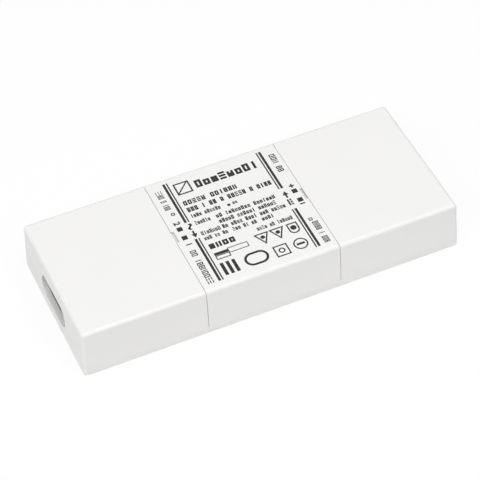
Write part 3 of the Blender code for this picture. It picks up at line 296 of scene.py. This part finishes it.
class Finish:
    """One material: its Principled shader, and a method that adds any node to its tree."""

    def __init__(self, name):
        self.material = bpy.data.materials.new(name)
        self.material.use_nodes = True
        self.tree = self.material.node_tree
        self.shader = self.tree.nodes["Principled BSDF"]
        self.output = self.tree.nodes["Material Output"]

    def feed(self, socket, value):
        """Links a field to a socket, or sets the socket to a constant."""
        if isinstance(value, Field):
            self.tree.links.new(value.socket, socket)
        else:
            socket.default_value = value

    def node(self, kind, settings, inputs):
        """Adds a node with its settings and its sockets' values, and gives its outputs by name."""
        made = self.tree.nodes.new(kind)
        for name, value in settings.items():
            setattr(made, name, value)
        for name, value in inputs.items():
            self.feed(made.inputs[name], value)
        return {socket.name: Field(self, socket) for socket in made.outputs if socket.enabled}

    def place(self, scale=(1, 1, 1)):
        """Object coordinates, stretched by scale."""
        where = self.node("ShaderNodeTexCoord", {}, {})["Object"]
        return self.node("ShaderNodeMapping", {}, {"Vector": where, "Scale": scale})["Vector"]

    def noise(self, size, detail=2.0, rough=0.5, scale=(1, 1, 1)):
        """Noise with spots of about the given size in metres, as a number around 0.5."""
        return self.node("ShaderNodeTexNoise", {"noise_dimensions": "3D"},
                         {"Vector": self.place(scale), "Scale": 1 / size, "Detail": detail,
                          "Roughness": rough})["Fac"]

    def cells(self, size, feature):
        """Distance to the nearest of many scattered points, or to the edge between two."""
        return self.node("ShaderNodeTexVoronoi", {"feature": feature},
                         {"Vector": self.place(), "Scale": 1 / size})["Distance"]

    def blend(self, share, first, second):
        """A colour that runs from first to second as share goes from 0 to 1."""
        made = self.tree.nodes.new("ShaderNodeMix")
        made.data_type = "RGBA"
        self.feed(made.inputs[MIX_SHARE], share)
        self.feed(made.inputs[MIX_FIRST], first)
        self.feed(made.inputs[MIX_SECOND], second)
        return Field(self, made.outputs[MIX_RESULT])

    def bump(self, height, depth):
        """Relief of the given depth in metres, from a height between 0 and 1."""
        return self.node("ShaderNodeBump", {}, {"Height": height, "Strength": 1.0,
                                                "Distance": depth})["Normal"]

    def surface(self, colour, roughness, normal=None, metallic=0.0, **constants):
        """Feeds the shader. A constant's name is its socket's, with underscores for spaces."""
        self.feed(self.shader.inputs["Base Color"], colour)
        self.feed(self.shader.inputs["Roughness"], roughness)
        self.feed(self.shader.inputs["Metallic"], metallic)
        if normal is not None:
            self.feed(self.shader.inputs["Normal"], normal)
        for name, value in constants.items():
            self.shader.inputs[name.replace("_", " ")].default_value = value
        return self.material


def shade(colour, level):
    """An opaque colour, made darker or lighter by level."""
    return (*[channel * level for channel in colour], 1.0)


# Finishes

def white_plastic(name, colour, grain, grain_depth):
    """Satin moulding: a spark-eroded grain, slow waves of sink and a trace of uneven pigment."""
    finish = Finish(name)
    cloud = finish.noise(14 * MM, detail=3.0)
    fine = finish.noise(grain, detail=3.0, rough=0.6)
    wave = finish.noise(30 * MM, detail=1.0)
    tint = finish.blend(cloud, shade(colour, 0.985), shade(colour, 1.01))
    relief = finish.bump(fine * 0.8 + wave * 0.2, grain_depth)
    return finish.surface(tint, 0.38 + fine * 0.12, relief)


def printed_ink():
    """Pad-printed dark grey, a little uneven where the pad lifted."""
    finish = Finish("printed_ink")
    speck = finish.noise(0.35 * MM, detail=4.0, rough=0.7)
    patch = finish.noise(4 * MM)
    tone = finish.blend((speck * 0.6 + patch * 0.4).clipped(0.0, 1.0),
                        (0.018, 0.018, 0.020, 1.0), (0.034, 0.033, 0.034, 1.0))
    return finish.surface(tone, 0.55 + speck * 0.15, finish.bump(speck, 0.004 * MM),
                          Specular_IOR_Level=0.2)


def moulded(name, colour, roughness):
    """Filled moulding compound with a fine grain."""
    finish = Finish(name)
    fine = finish.noise(0.25 * MM, detail=4.0, rough=0.65)
    cloud = finish.noise(3 * MM)
    tone = finish.blend(cloud, shade(colour, 0.85), shade(colour, 1.15))
    return finish.surface(tone, roughness - 0.08 + fine * 0.16, finish.bump(fine, 0.01 * MM))


def dipped(name, colour):
    """A thick glossy coating with the soft orange peel of a dip."""
    finish = Finish(name)
    peel = finish.noise(1.1 * MM)
    cloud = finish.noise(2.5 * MM)
    tone = finish.blend(cloud, shade(colour, 0.8), shade(colour, 1.2))
    return finish.surface(tone, 0.18 + peel * 0.1, finish.bump(peel, 0.05 * MM), Coat_Weight=0.3)


def plated(name, colour, roughness, streak):
    """Bright plating: fine streaks along one way and cloudy passivation."""
    finish = Finish(name)
    streaks = finish.noise(0.12 * MM, detail=3.0, rough=0.6, scale=streak)
    cloud = finish.noise(1.2 * MM, detail=3.0)
    tone = finish.blend(cloud, shade(colour, 0.86), shade(colour, 1.08))
    return finish.surface(tone, roughness + streaks * 0.16, finish.bump(streaks, 0.003 * MM),
                          metallic=1.0)


def solder_mask():
    """Green lacquer over glass cloth, with copper tracks that show a shade lighter."""
    finish = Finish("solder_mask")
    weave = finish.node("ShaderNodeTexChecker", {}, {"Vector": finish.place(),
                                                     "Scale": 1 / (0.6 * MM)})["Fac"]
    tracks = finish.cells(4.5 * MM, "DISTANCE_TO_EDGE").over(0.09)
    cloud = finish.noise(5 * MM)
    ground = finish.blend(cloud, (0.018, 0.105, 0.04, 1.0), (0.026, 0.14, 0.052, 1.0))
    tone = finish.blend(tracks * 0.7, ground, (0.06, 0.26, 0.10, 1.0))
    return finish.surface(tone, 0.28 + cloud * 0.1, finish.bump(tracks * 0.9 + weave * 0.1, 0.03 * MM))


def sintered():
    """Pressed ferrite: dark, dull and faintly pitted."""
    finish = Finish("sintered_ferrite")
    pits = finish.cells(0.35 * MM, "F1")
    cloud = finish.noise(1.5 * MM, detail=4.0, rough=0.7)
    tone = finish.blend(cloud, (0.055, 0.055, 0.06, 1.0), (0.12, 0.12, 0.125, 1.0))
    return finish.surface(tone, 0.5 + cloud * 0.2, finish.bump(pits, 0.02 * MM))


def wound_tape(name, colour):
    """Turns of polyester tape, seen as faint steps round the coil."""
    finish = Finish(name)
    turns = finish.node("ShaderNodeTexWave", {"wave_type": "BANDS", "bands_direction": "X"},
                        {"Vector": finish.place(), "Scale": 0.35 / MM, "Distortion": 0.4})["Fac"]
    cloud = finish.noise(2 * MM)
    tone = finish.blend(cloud * 0.6 + turns * 0.4, shade(colour, 0.85), shade(colour, 1.05))
    return finish.surface(tone, 0.32 + cloud * 0.1, finish.bump(turns, 0.03 * MM))


def make_finishes():
    """Every finish by its material slot, and three more for parts of a solid: painted shade for the
    housing's inner faces and for the pry notches, and plating for the leads.
    """
    return {
        "housing": white_plastic("white_housing", (0.872, 0.868, 0.850), 0.22 * MM, 0.006 * MM),
        "clamp": white_plastic("white_clamp", (0.80, 0.80, 0.79), 0.4 * MM, 0.02 * MM),
        "screw_steel": plated("zinc_plate", (0.70, 0.71, 0.73), 0.22, (1, 1, 12)),
        "terminal": moulded("grey_terminal", (0.36, 0.37, 0.38), 0.45),
        "terminal_brass": plated("tinned_brass", (0.72, 0.69, 0.60), 0.26, (12, 1, 1)),
        "black_moulding": moulded("black_moulding", (0.018, 0.018, 0.02), 0.45),
        "blue_coating": dipped("blue_coating", (0.03, 0.11, 0.36)),
        "yellow_case": wound_tape("yellow_tape", (0.78, 0.52, 0.06)),
        "brown_coating": dipped("brown_coating", (0.30, 0.09, 0.03)),
        "ferrite": sintered(),
        "dark_sleeve": dipped("dark_sleeve", (0.025, 0.03, 0.055)),
        "chip_body": moulded("glazed_chip", (0.30, 0.26, 0.20), 0.3),
        "board": solder_mask(),
        # Painted shade: the pry notches' faces get a darker white, which stands in for the shade in these
        # shallow recesses
        "notch": white_plastic("notch_painted_shade", (0.70, 0.70, 0.69), 0.3 * MM, 0.01 * MM),
        # Painted shade: the housing's inner faces get a grey-white, which stands in for the shade inside the
        # closed housing seen through the cable entries
        "inside": white_plastic("inside_painted_shade", (0.52, 0.52, 0.51), 0.4 * MM, 0.015 * MM),
        "leads": plated("tinned_leads", (0.74, 0.74, 0.75), 0.2, (1, 1, 10)),
    }


# Pieces

def new_piece(name, bm, *materials):
    """An object at the origin with the given mesh and materials. The mesh under work is freed."""
    mesh = bpy.data.meshes.new(name)
    bm.to_mesh(mesh)
    bm.free()
    for material in materials:
        mesh.materials.append(material)
    piece = bpy.data.objects.new(name, mesh)
    bpy.context.scene.collection.objects.link(piece)
    return piece


def in_room(place):
    """Whether a place lies inside the housing's walls, or on their inner faces."""
    skin = WALL - WALL_SLACK
    return all(low + skin < at < high - skin for low, at, high in zip(cad_box[0], place, cad_box[1]))


def in_notch(place):
    """Whether a place lies in one of the two pry notches at the seams."""
    return (abs(abs(place.x) - NOTCH_X) < NOTCH_REACH and abs(place.y) < NOTCH_HALF_LENGTH
            and place.z > BODY_TOP - NOTCH_DEPTH)


def thin_entry_rim(bm):
    """Chamfers the inner edge of a cable entry, so that its wall is thinner at the opening."""
    for vert in bm.verts:
        at_wall = abs(abs(vert.co.x) - INNER_WALL_X) < MERGE_DISTANCE
        if at_wall and abs(vert.co.y) < ENTRY_REACH and ENTRY_FOOT < vert.co.z < ENTRY_HEAD:
            vert.co.x += copysign(ENTRY_CHAMFER, vert.co.x)


def close_down(bm):
    """Moves a cover's foot down on the base, where the photograph shows no line."""
    for vert in bm.verts:
        if vert.co.z < COVER_FOOT + MERGE_DISTANCE:
            vert.co.z -= PARTING_CLOSURE


def is_inner(face):
    """Whether a face looks into the housing, where painted shade goes."""
    return all(in_room(vert.co) for vert in face.verts)


def is_notch(face):
    """Whether a face belongs to a pry notch, where painted shade goes."""
    return all(in_notch(vert.co) for vert in face.verts)


def is_lead(face):
    """Whether a face lies below the body of a component that sits on the board."""
    return face.calc_center_median().z < BOARD_TOP + LEAD_GAP


def second_finish(node):
    """The finish that some faces of a solid have instead of its own, and the test for those faces."""
    if node in HOLLOW:
        # Faces that look into the housing get a grey-white of painted shade
        return "inside", is_inner
    if node == "centre_cover":
        # The pry notches' faces get their darker white of painted shade
        return "notch", is_notch
    if node in LEADED:
        return "leads", is_lead
    return None


def finish_faces(bm, node, slot, finishes):
    """Gives each face of a solid its finish by number, and returns the finishes."""
    second = second_finish(node)
    if second is None:
        return [finishes[slot]]
    name, has_it = second
    for face in bm.faces:
        face.material_index = int(has_it(face))
    return [finishes[slot], finishes[name]]


def merged_copy(node):
    """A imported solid's mesh with its doubles merged and its flat faces whole."""
    bm = bmesh.new()
    bm.from_mesh(frame["nodes"][node].data)
    bmesh.ops.remove_doubles(bm, verts=bm.verts[:], dist=MERGE_DISTANCE)
    bmesh.ops.dissolve_limit(bm, angle_limit=FLAT_ANGLE, verts=bm.verts[:], edges=bm.edges[:])
    return bm


def dress(node, slot, finishes):
    """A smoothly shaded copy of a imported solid, in its finishes, which stands for it."""
    bm = merged_copy(node)
    if node in END_COVERS:
        thin_entry_rim(bm)
    if node in COVERS:
        close_down(bm)
    materials = finish_faces(bm, node, slot, finishes)
    for face in bm.faces:
        face.smooth = True
    for edge in bm.edges:
        edge.smooth = edge.calc_face_angle(pi) < SHARP_ANGLE
    piece = new_piece(f"{node}_finished", bm, *materials)
    shading = piece.modifiers.new("flat_faces_stay_flat", "WEIGHTED_NORMAL")
    shading.keep_sharp = True
    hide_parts(node)
    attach(piece, "root")


def dress_all(finishes):
    """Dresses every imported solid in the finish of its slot."""
    for row in frame["record"]["subparts"]:
        dress(row["node"], row["material_slot"], finishes)


# Print

def ink_box(bm, left, foot, right, top):
    """A flat patch of ink, given by its edges in label millimetres."""
    low = Vector((left * MM, foot * MM, BODY_TOP - INK_BITE * MM))
    high = Vector((right * MM, top * MM, BODY_TOP + INK_RISE * MM))
    place = Matrix.Translation((low + high) / 2) @ Matrix.Diagonal((*(high - low), 1.0))
    bmesh.ops.create_cube(bm, size=1.0, matrix=place)


def flat_face(points):
    """A mesh of one flat face at the ink's foot, with the given corners."""
    flat = bmesh.new()
    level = BODY_TOP - INK_BITE * MM
    face = flat.faces.new([flat.verts.new((x * MM, y * MM, level)) for x, y in points])
    return flat, face


def ink_outline(bm, points, stroke):
    """A closed line of ink round the given corners, with its outer edge on them."""
    flat, face = flat_face(points)
    flat.normal_update()
    bmesh.ops.inset_region(flat, faces=[face], thickness=stroke * MM, use_even_offset=True,
                            use_boundary=True)
    bmesh.ops.delete(flat, geom=[face], context="FACES")
    raise_ink(flat)
    join_ink(bm, flat)


def ink_shape(bm, points):
    """A filled patch of ink with the given corners."""
    flat, _ = flat_face(points)
    raise_ink(flat)
    join_ink(bm, flat)


def raise_ink(flat):
    """Gives a flat shape its thickness and turns its faces outward."""
    made = bmesh.ops.extrude_face_region(flat, geom=flat.faces[:], use_keep_orig=True)["geom"]
    for vert in (item for item in made if isinstance(item, bmesh.types.BMVert)):
        vert.co.z = BODY_TOP + INK_RISE * MM
    bmesh.ops.recalc_face_normals(flat, faces=flat.faces[:])


def join_ink(bm, other):
    """Adds one mesh of ink to another, and frees it."""
    mesh = bpy.data.meshes.new("ink")
    other.to_mesh(mesh)
    other.free()
    bm.from_mesh(mesh)
    bpy.data.meshes.remove(mesh)


def new_print(name, bm, material):
    """A piece of the label, moved across and stretched along to where the photograph shows it."""
    fit = Matrix.Translation((LABEL_SHIFT * MM, 0, 0)) @ Matrix.Diagonal((1.0, LABEL_STRETCH, 1.0, 1.0))
    bmesh.ops.transform(bm, matrix=fit, verts=bm.verts[:])
    return new_piece(name, bm, material)


def arc(x, y, radius, start, end, steps):
    """Points on an arc, from its start to its end in degrees."""
    turns = [radians(start + (end - start) * step / steps) for step in range(steps + 1)]
    return [(x + radius * cos(turn), y + radius * sin(turn)) for turn in turns]


def circle(x, y, radius, sides=CIRCLE_SIDES):
    """The corners of a round outline."""
    return arc(x, y, radius, 0, 360, sides)[:-1]


def rectangle(left, foot, right, top):
    """The corners of an upright rectangle, given by its edges."""
    return [(left, foot), (right, foot), (right, top), (left, top)]


def square(x, y, half):
    """The corners of a square, given by its middle and half its side."""
    return rectangle(x - half, y - half, x + half, y + half)


def shield(x, top, half_width, height):
    """A shield's outline: a straight head and sides, and a round foot."""
    foot = arc(x, top - height + half_width * SHIELD_FOOT_SHARE, half_width, 180, 360,
               SHIELD_FOOT_STEPS)
    return [(x + half_width, top), (x - half_width, top)] + foot


def oblong(x, y, half_length, half_height):
    """A rectangle with half-round ends."""
    straight = half_length - half_height
    return (arc(x + straight, y, half_height, -90, 90, OBLONG_END_STEPS)
            + arc(x - straight, y, half_height, 90, 270, OBLONG_END_STEPS))


def glyph(bm, kind, left, base, width, height, stroke):
    """A small box, pair of posts or stack of bars in the place of a letter, given as the strokes it
    has. The strokes meet without overlapping."""
    sides = kind.split()
    right, top = left + width, base + height
    inner_left = left + stroke if "left" in sides else left
    inner_right = right - stroke if "right" in sides else right
    centre = base + (height - stroke) / 2
    strokes = {
        "left": (left, base, left + stroke, top),
        "right": (right - stroke, base, right, top),
        "head": (inner_left, top - stroke, inner_right, top),
        "middle": (inner_left, centre, inner_right, centre + stroke),
        "foot": (inner_left, base, inner_right, base + stroke),
    }
    for side in sides:
        ink_box(bm, *strokes[side])


def type_row(bm, line):
    """A line of such figures between two ends, in words of the given lengths."""
    places = sum(line.words) + len(line.words) - 1
    pitch = (line.right - line.left) / (places - (1 - GLYPH_WIDTH))
    at, count = line.left, line.first
    for letters in line.words:
        for _ in range(letters):
            kind = GLYPHS[count * GLYPH_STEP % len(GLYPHS)]
            narrow = kind == "left"
            tall = line.capitals or count % TALL_STEP == 0 or narrow
            width = line.stroke if narrow else pitch * GLYPH_WIDTH
            inset = (pitch * GLYPH_WIDTH - width) / 2
            height = line.height * (1.0 if tall else SMALL_HEIGHT)
            glyph(bm, kind, at + inset, line.base, width, height, line.stroke)
            at += pitch
            count += 1
        at += pitch


def turned(bm, side, middle, start, draw, *details):
    """Lets draw make a line that runs from zero along X, and turns it to run along Y from start, with
    its body on middle: down on the left side, up on the right side."""
    line = bmesh.new()
    draw(line, *details)
    place = (Matrix.Translation((middle * MM, start * MM, 0))
             @ Matrix.Rotation(side * pi / 2, 4, "Z"))
    bmesh.ops.transform(line, matrix=place, verts=line.verts[:])
    join_ink(bm, line)


def print_bars(material):
    """The thick and thin rules down both sides of the label, broken for a turned mark."""
    bm = bmesh.new()
    for side, spans in RULE_SPANS.items():
        for offset, width in RULES:
            x = side * offset
            for foot, top in spans:
                ink_box(bm, x - width / 2, foot, x + width / 2, top)
    return new_print("label_rules", bm, material)


def print_rows(material):
    """The lines of small print and the dot between two of them."""
    bm = bmesh.new()
    for line in SMALL_PRINT:
        type_row(bm, line)
    ink_shape(bm, circle(*DOT_PLACE, DOT_RADIUS, DOT_SIDES))
    return new_print("label_small_print", bm, material)


def print_signs(bm):
    """The minus and the plus beside the lamp terminals. The plus's strokes meet without overlapping."""
    x, arm, half = TURNED_X[1], SIGN_ARM, PLUS_HALF_STROKE
    ink_box(bm, x - arm, MINUS_FOOT, x + arm, MINUS_TOP)
    ink_box(bm, x - arm, PLUS_Y - half, x + arm, PLUS_Y + half)
    ink_box(bm, x - half, PLUS_Y - arm, x + half, PLUS_Y - half)
    ink_box(bm, x - half, PLUS_Y + half, x + half, PLUS_Y + arm)


def print_columns(material):
    """The turned lines between the rules and the seams, with squares and signs at the terminals."""
    bm = bmesh.new()
    for row in TURNED_PRINT:
        line = Line(0, abs(row.end - row.start), -TURNED_HEIGHT / 2, TURNED_HEIGHT, row.words,
                    row.first, row.stroke, capitals=True)
        turned(bm, row.side, TURNED_X[row.side], row.start, type_row, line)
    for x, y in SMALL_SQUARES:
        ink_outline(bm, square(x, y, SMALL_SQUARE_HALF), SMALL_SQUARE_STROKE)
    for side, y in TERMINAL_SQUARES:
        ink_shape(bm, square(TURNED_X[side], y, TERMINAL_SQUARE_HALF))
    print_signs(bm)
    return new_print("label_turned_print", bm, material)


def arrow(bm, start):
    """A shaft and a head that point along X."""
    neck = start + SHAFT_LENGTH
    ink_box(bm, start, -SHAFT_HALF, neck, SHAFT_HALF)
    ink_shape(bm, [(neck, -HEAD_HALF), (neck + HEAD_LENGTH, 0.0), (neck, HEAD_HALF)])


def wave_and_arrow(bm):
    """One wave, and an arrow after it."""
    shares = [step / WAVE_STEPS for step in range(WAVE_STEPS + 1)]
    points = [(share * WAVE_LENGTH, WAVE_RISE * sin(share * 2 * pi)) for share in shares]
    upper = [(x, y + WAVE_HALF_STROKE) for x, y in points]
    lower = [(x, y - WAVE_HALF_STROKE) for x, y in points]
    ink_shape(bm, upper + lower[::-1])
    arrow(bm, WAVE_TO_ARROW)


def dashes_and_arrow(bm):
    """A bar over three dashes, and an arrow after them."""
    ink_box(bm, 0.0, DASH_INNER, DASHES_LENGTH, DASH_OUTER)
    for start in DASH_STARTS:
        ink_box(bm, start, -DASH_OUTER, start + DASH_LENGTH, -DASH_INNER)
    arrow(bm, DASHES_TO_ARROW)


def print_flow(material):
    """In the gaps of the rules: an arrow in beside a wave, and an arrow out beside a bar over dashes."""
    bm = bmesh.new()
    turned(bm, -1, *WAVE_PLACE, wave_and_arrow)
    turned(bm, 1, *DASHES_PLACE, dashes_and_arrow)
    return new_print("label_flow_marks", bm, material)


def print_number(text, y, weight, material):
    """A plain number laid on the cover as ink beside a mains terminal, thickened by weight."""
    name = f"terminal_number_{text}"
    curve = bpy.data.curves.new(name, "FONT")
    curve.body = text
    curve.size = NUMBER_HEIGHT / DIGIT_SHARE * MM
    curve.align_x = "CENTER"
    curve.align_y = "CENTER"
    curve.extrude = (INK_RISE + INK_BITE) / 2 * MM
    curve.offset = weight * MM
    curve.resolution_u = DIGIT_CURVE_STEPS
    letters = bpy.data.objects.new(name, curve)
    bpy.context.scene.collection.objects.link(letters)
    bpy.context.view_layer.update()
    mesh = bpy.data.meshes.new_from_object(letters.evaluated_get(bpy.context.evaluated_depsgraph_get()))
    bm = bmesh.new()
    bm.from_mesh(mesh)
    bmesh.ops.remove_doubles(bm, verts=bm.verts[:], dist=MERGE_DISTANCE)
    level = BODY_TOP + (INK_RISE - INK_BITE) / 2 * MM
    place = Matrix.Translation((TURNED_X[-1] * MM, y * MM, level)) @ Matrix.Rotation(-pi / 2, 4, "Z")
    bmesh.ops.transform(bm, matrix=place, verts=bm.verts[:])
    bmesh.ops.recalc_face_normals(bm, faces=bm.faces[:])
    bpy.data.objects.remove(letters)
    bpy.data.curves.remove(curve)
    bpy.data.meshes.remove(mesh)
    return new_print(name, bm, material)


def crossed_square(bm):
    """An outlined square with a stroke from corner to corner."""
    x, y, _ = CROSSED_SQUARE
    reach, tip, wide = DIAGONAL_REACH, DIAGONAL_TIP, DIAGONAL_WIDTH
    ink_outline(bm, square(*CROSSED_SQUARE), CROSSED_STROKE)
    ink_shape(bm, [(x - reach, y - reach + tip), (x - reach + tip, y - reach),
                   (x + reach, y + reach - tip), (x + reach - tip, y + reach),
                   (x + reach - wide, y + reach), (x - reach, y - reach + wide)])


def stripping_guide(bm):
    """A bared wire's end, its sleeve and an empty box below."""
    ink_box(bm, *GUIDE_BAR)
    ink_outline(bm, rectangle(*GUIDE_SLEEVE), FINE_OUTLINE)
    ink_outline(bm, rectangle(*GUIDE_BOX), GUIDE_BOX_STROKE)


def middle_marks(bm):
    """Two triangles and a shield, each with a dot."""
    head = MARKS_HEAD
    for left in TRIANGLE_LEFTS:
        middle = left + TRIANGLE_HALF
        ink_outline(bm, [(left, head), (middle, head - MARKS_HEIGHT), (left + 2 * TRIANGLE_HALF, head)],
                    OUTLINE)
        ink_shape(bm, circle(middle, head - TRIANGLE_DOT_DROP, TRIANGLE_DOT, DOT_SIDES))
    ink_outline(bm, shield(SHIELD_X, head, SHIELD_HALF, MARKS_HEIGHT), OUTLINE)
    ink_shape(bm, circle(SHIELD_X, head - SHIELD_DOT_DROP, SHIELD_DOT, DOT_SIDES))


def lower_marks(bm):
    """Three bars, an oblong ring, a square with a ring and a circle with a bar."""
    for left in BAR_LEFTS:
        ink_box(bm, left, BARS_FOOT, left + BAR_WIDTH, BARS_TOP)
    ink_outline(bm, oblong(*OBLONG), OBLONG_STROKE)
    ink_outline(bm, square(*RINGED_SQUARE), OUTLINE)
    ink_outline(bm, circle(*RINGED_SQUARE[:2], RING_RADIUS, DOT_SIDES), OUTLINE)
    ink_outline(bm, circle(*BARRED_CIRCLE), OUTLINE)
    ink_box(bm, *CIRCLE_BAR)


def print_symbols(material):
    """Plain shapes beside the heading and in the lower rows of the label."""
    bm = bmesh.new()
    crossed_square(bm)
    stripping_guide(bm)
    middle_marks(bm)
    lower_marks(bm)
    return new_print("label_symbols", bm, material)


def print_label():
    """All the print on the middle cover."""
    ink = printed_ink()
    pieces = [print_bars(ink), print_rows(ink), print_columns(ink), print_flow(ink), print_symbols(ink)]
    pieces += [print_number(text, y, weight, ink) for text, (y, weight) in NUMBERS.items()]
    for piece in pieces:
        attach(piece, "root")


# Light, floor and camera

def make_floor():
    """A pale floor that the camera sees as nearly white, with the object's soft shadow."""
    bm = bmesh.new()
    bmesh.ops.create_grid(bm, x_segments=1, y_segments=1, size=FLOOR_SIZE / 2)
    finish = Finish("pale_floor")
    finish.surface(finish.blend(finish.noise(FLOOR_PATCH), *FLOOR_TONES), FLOOR_ROUGHNESS)
    rays = finish.node("ShaderNodeLightPath", {}, {})
    seen = (rays["Is Camera Ray"] + rays["Is Glossy Ray"] + rays["Is Transmission Ray"]).clipped(0.0, 1.0)
    glow = finish.node("ShaderNodeEmission", {}, {"Color": WHITE, "Strength": 1.0})["Emission"]
    body = Field(finish, finish.shader.outputs["BSDF"])
    mixed = finish.node("ShaderNodeMixShader", {}, {0: seen * FLOOR_WHITE_SHARE, 1: body, 2: glow})["Shader"]
    finish.feed(finish.output.inputs["Surface"], mixed)
    new_piece("floor", bm, finish.material)


def make_world():
    """Even white light from all round; the camera and reflections see plain white."""
    world = bpy.data.worlds.new("studio")
    world.use_nodes = True
    tree = world.node_tree
    background = tree.nodes["Background"]
    background.inputs["Color"].default_value = WHITE
    rays = tree.nodes.new("ShaderNodeLightPath")
    level = WORLD_LEVEL
    for kind in ("Is Camera Ray", "Is Glossy Ray", "Is Transmission Ray"):
        white = tree.nodes.new("ShaderNodeMix")
        tree.links.new(rays.outputs[kind], white.inputs["Factor"])
        if isinstance(level, float):
            white.inputs["A"].default_value = level
        else:
            tree.links.new(level, white.inputs["A"])
        white.inputs["B"].default_value = 1.0
        level = white.outputs["Result"]
    tree.links.new(level, background.inputs["Strength"])
    bpy.context.scene.world = world


def direction(azimuth, elevation):
    """From the middle toward a place at a turn from the front (-Y) toward +X, and a rise, in degrees."""
    around, rise = radians(azimuth), radians(elevation)
    return Vector((sin(around) * cos(rise), -cos(around) * cos(rise), sin(rise)))


def make_lamp(name, azimuth, elevation, distance, size, power):
    """A square soft box that faces the object."""
    lamp = bpy.data.lights.new(name, "AREA")
    lamp.shape = "SQUARE"
    lamp.size = size
    lamp.energy = power
    holder = bpy.data.objects.new(name, lamp)
    toward = direction(azimuth, elevation)
    holder.location = toward * distance
    holder.rotation_euler = (-toward).to_track_quat("-Z", "Y").to_euler()
    bpy.context.scene.collection.objects.link(holder)


def make_camera():
    """The photograph's camera: its place and turn round its own axis, its lens and its shift."""
    back = direction(CAMERA_AZIMUTH, CAMERA_ELEVATION)
    roll = radians(CAMERA_ROLL)
    level = Vector((0, 0, 1)).cross(back).normalized()
    upward = back.cross(level)
    right = cos(roll) * level + sin(roll) * upward
    top = -sin(roll) * level + cos(roll) * upward
    lens = bpy.data.cameras.new("camera")
    lens.lens = LENS
    lens.sensor_width = SENSOR
    lens.shift_x = -CENTRE_RIGHT_PX / PHOTO_SIZE
    lens.shift_y = CENTRE_DOWN_PX / PHOTO_SIZE
    lens.clip_start = CLIP_START
    camera = bpy.data.objects.new("camera", lens)
    camera.matrix_world = (Matrix.Translation(back * CAMERA_DISTANCE)
                           @ Matrix((right, top, back)).transposed().to_4x4())
    bpy.context.scene.collection.objects.link(camera)
    bpy.context.scene.camera = camera


dress_all(make_finishes())
print_label()
make_floor()
make_world()
for lamp, settings in LAMPS.items():
    make_lamp(lamp, *settings)
make_camera()
bpy.context.scene.view_settings.view_transform = "Standard"
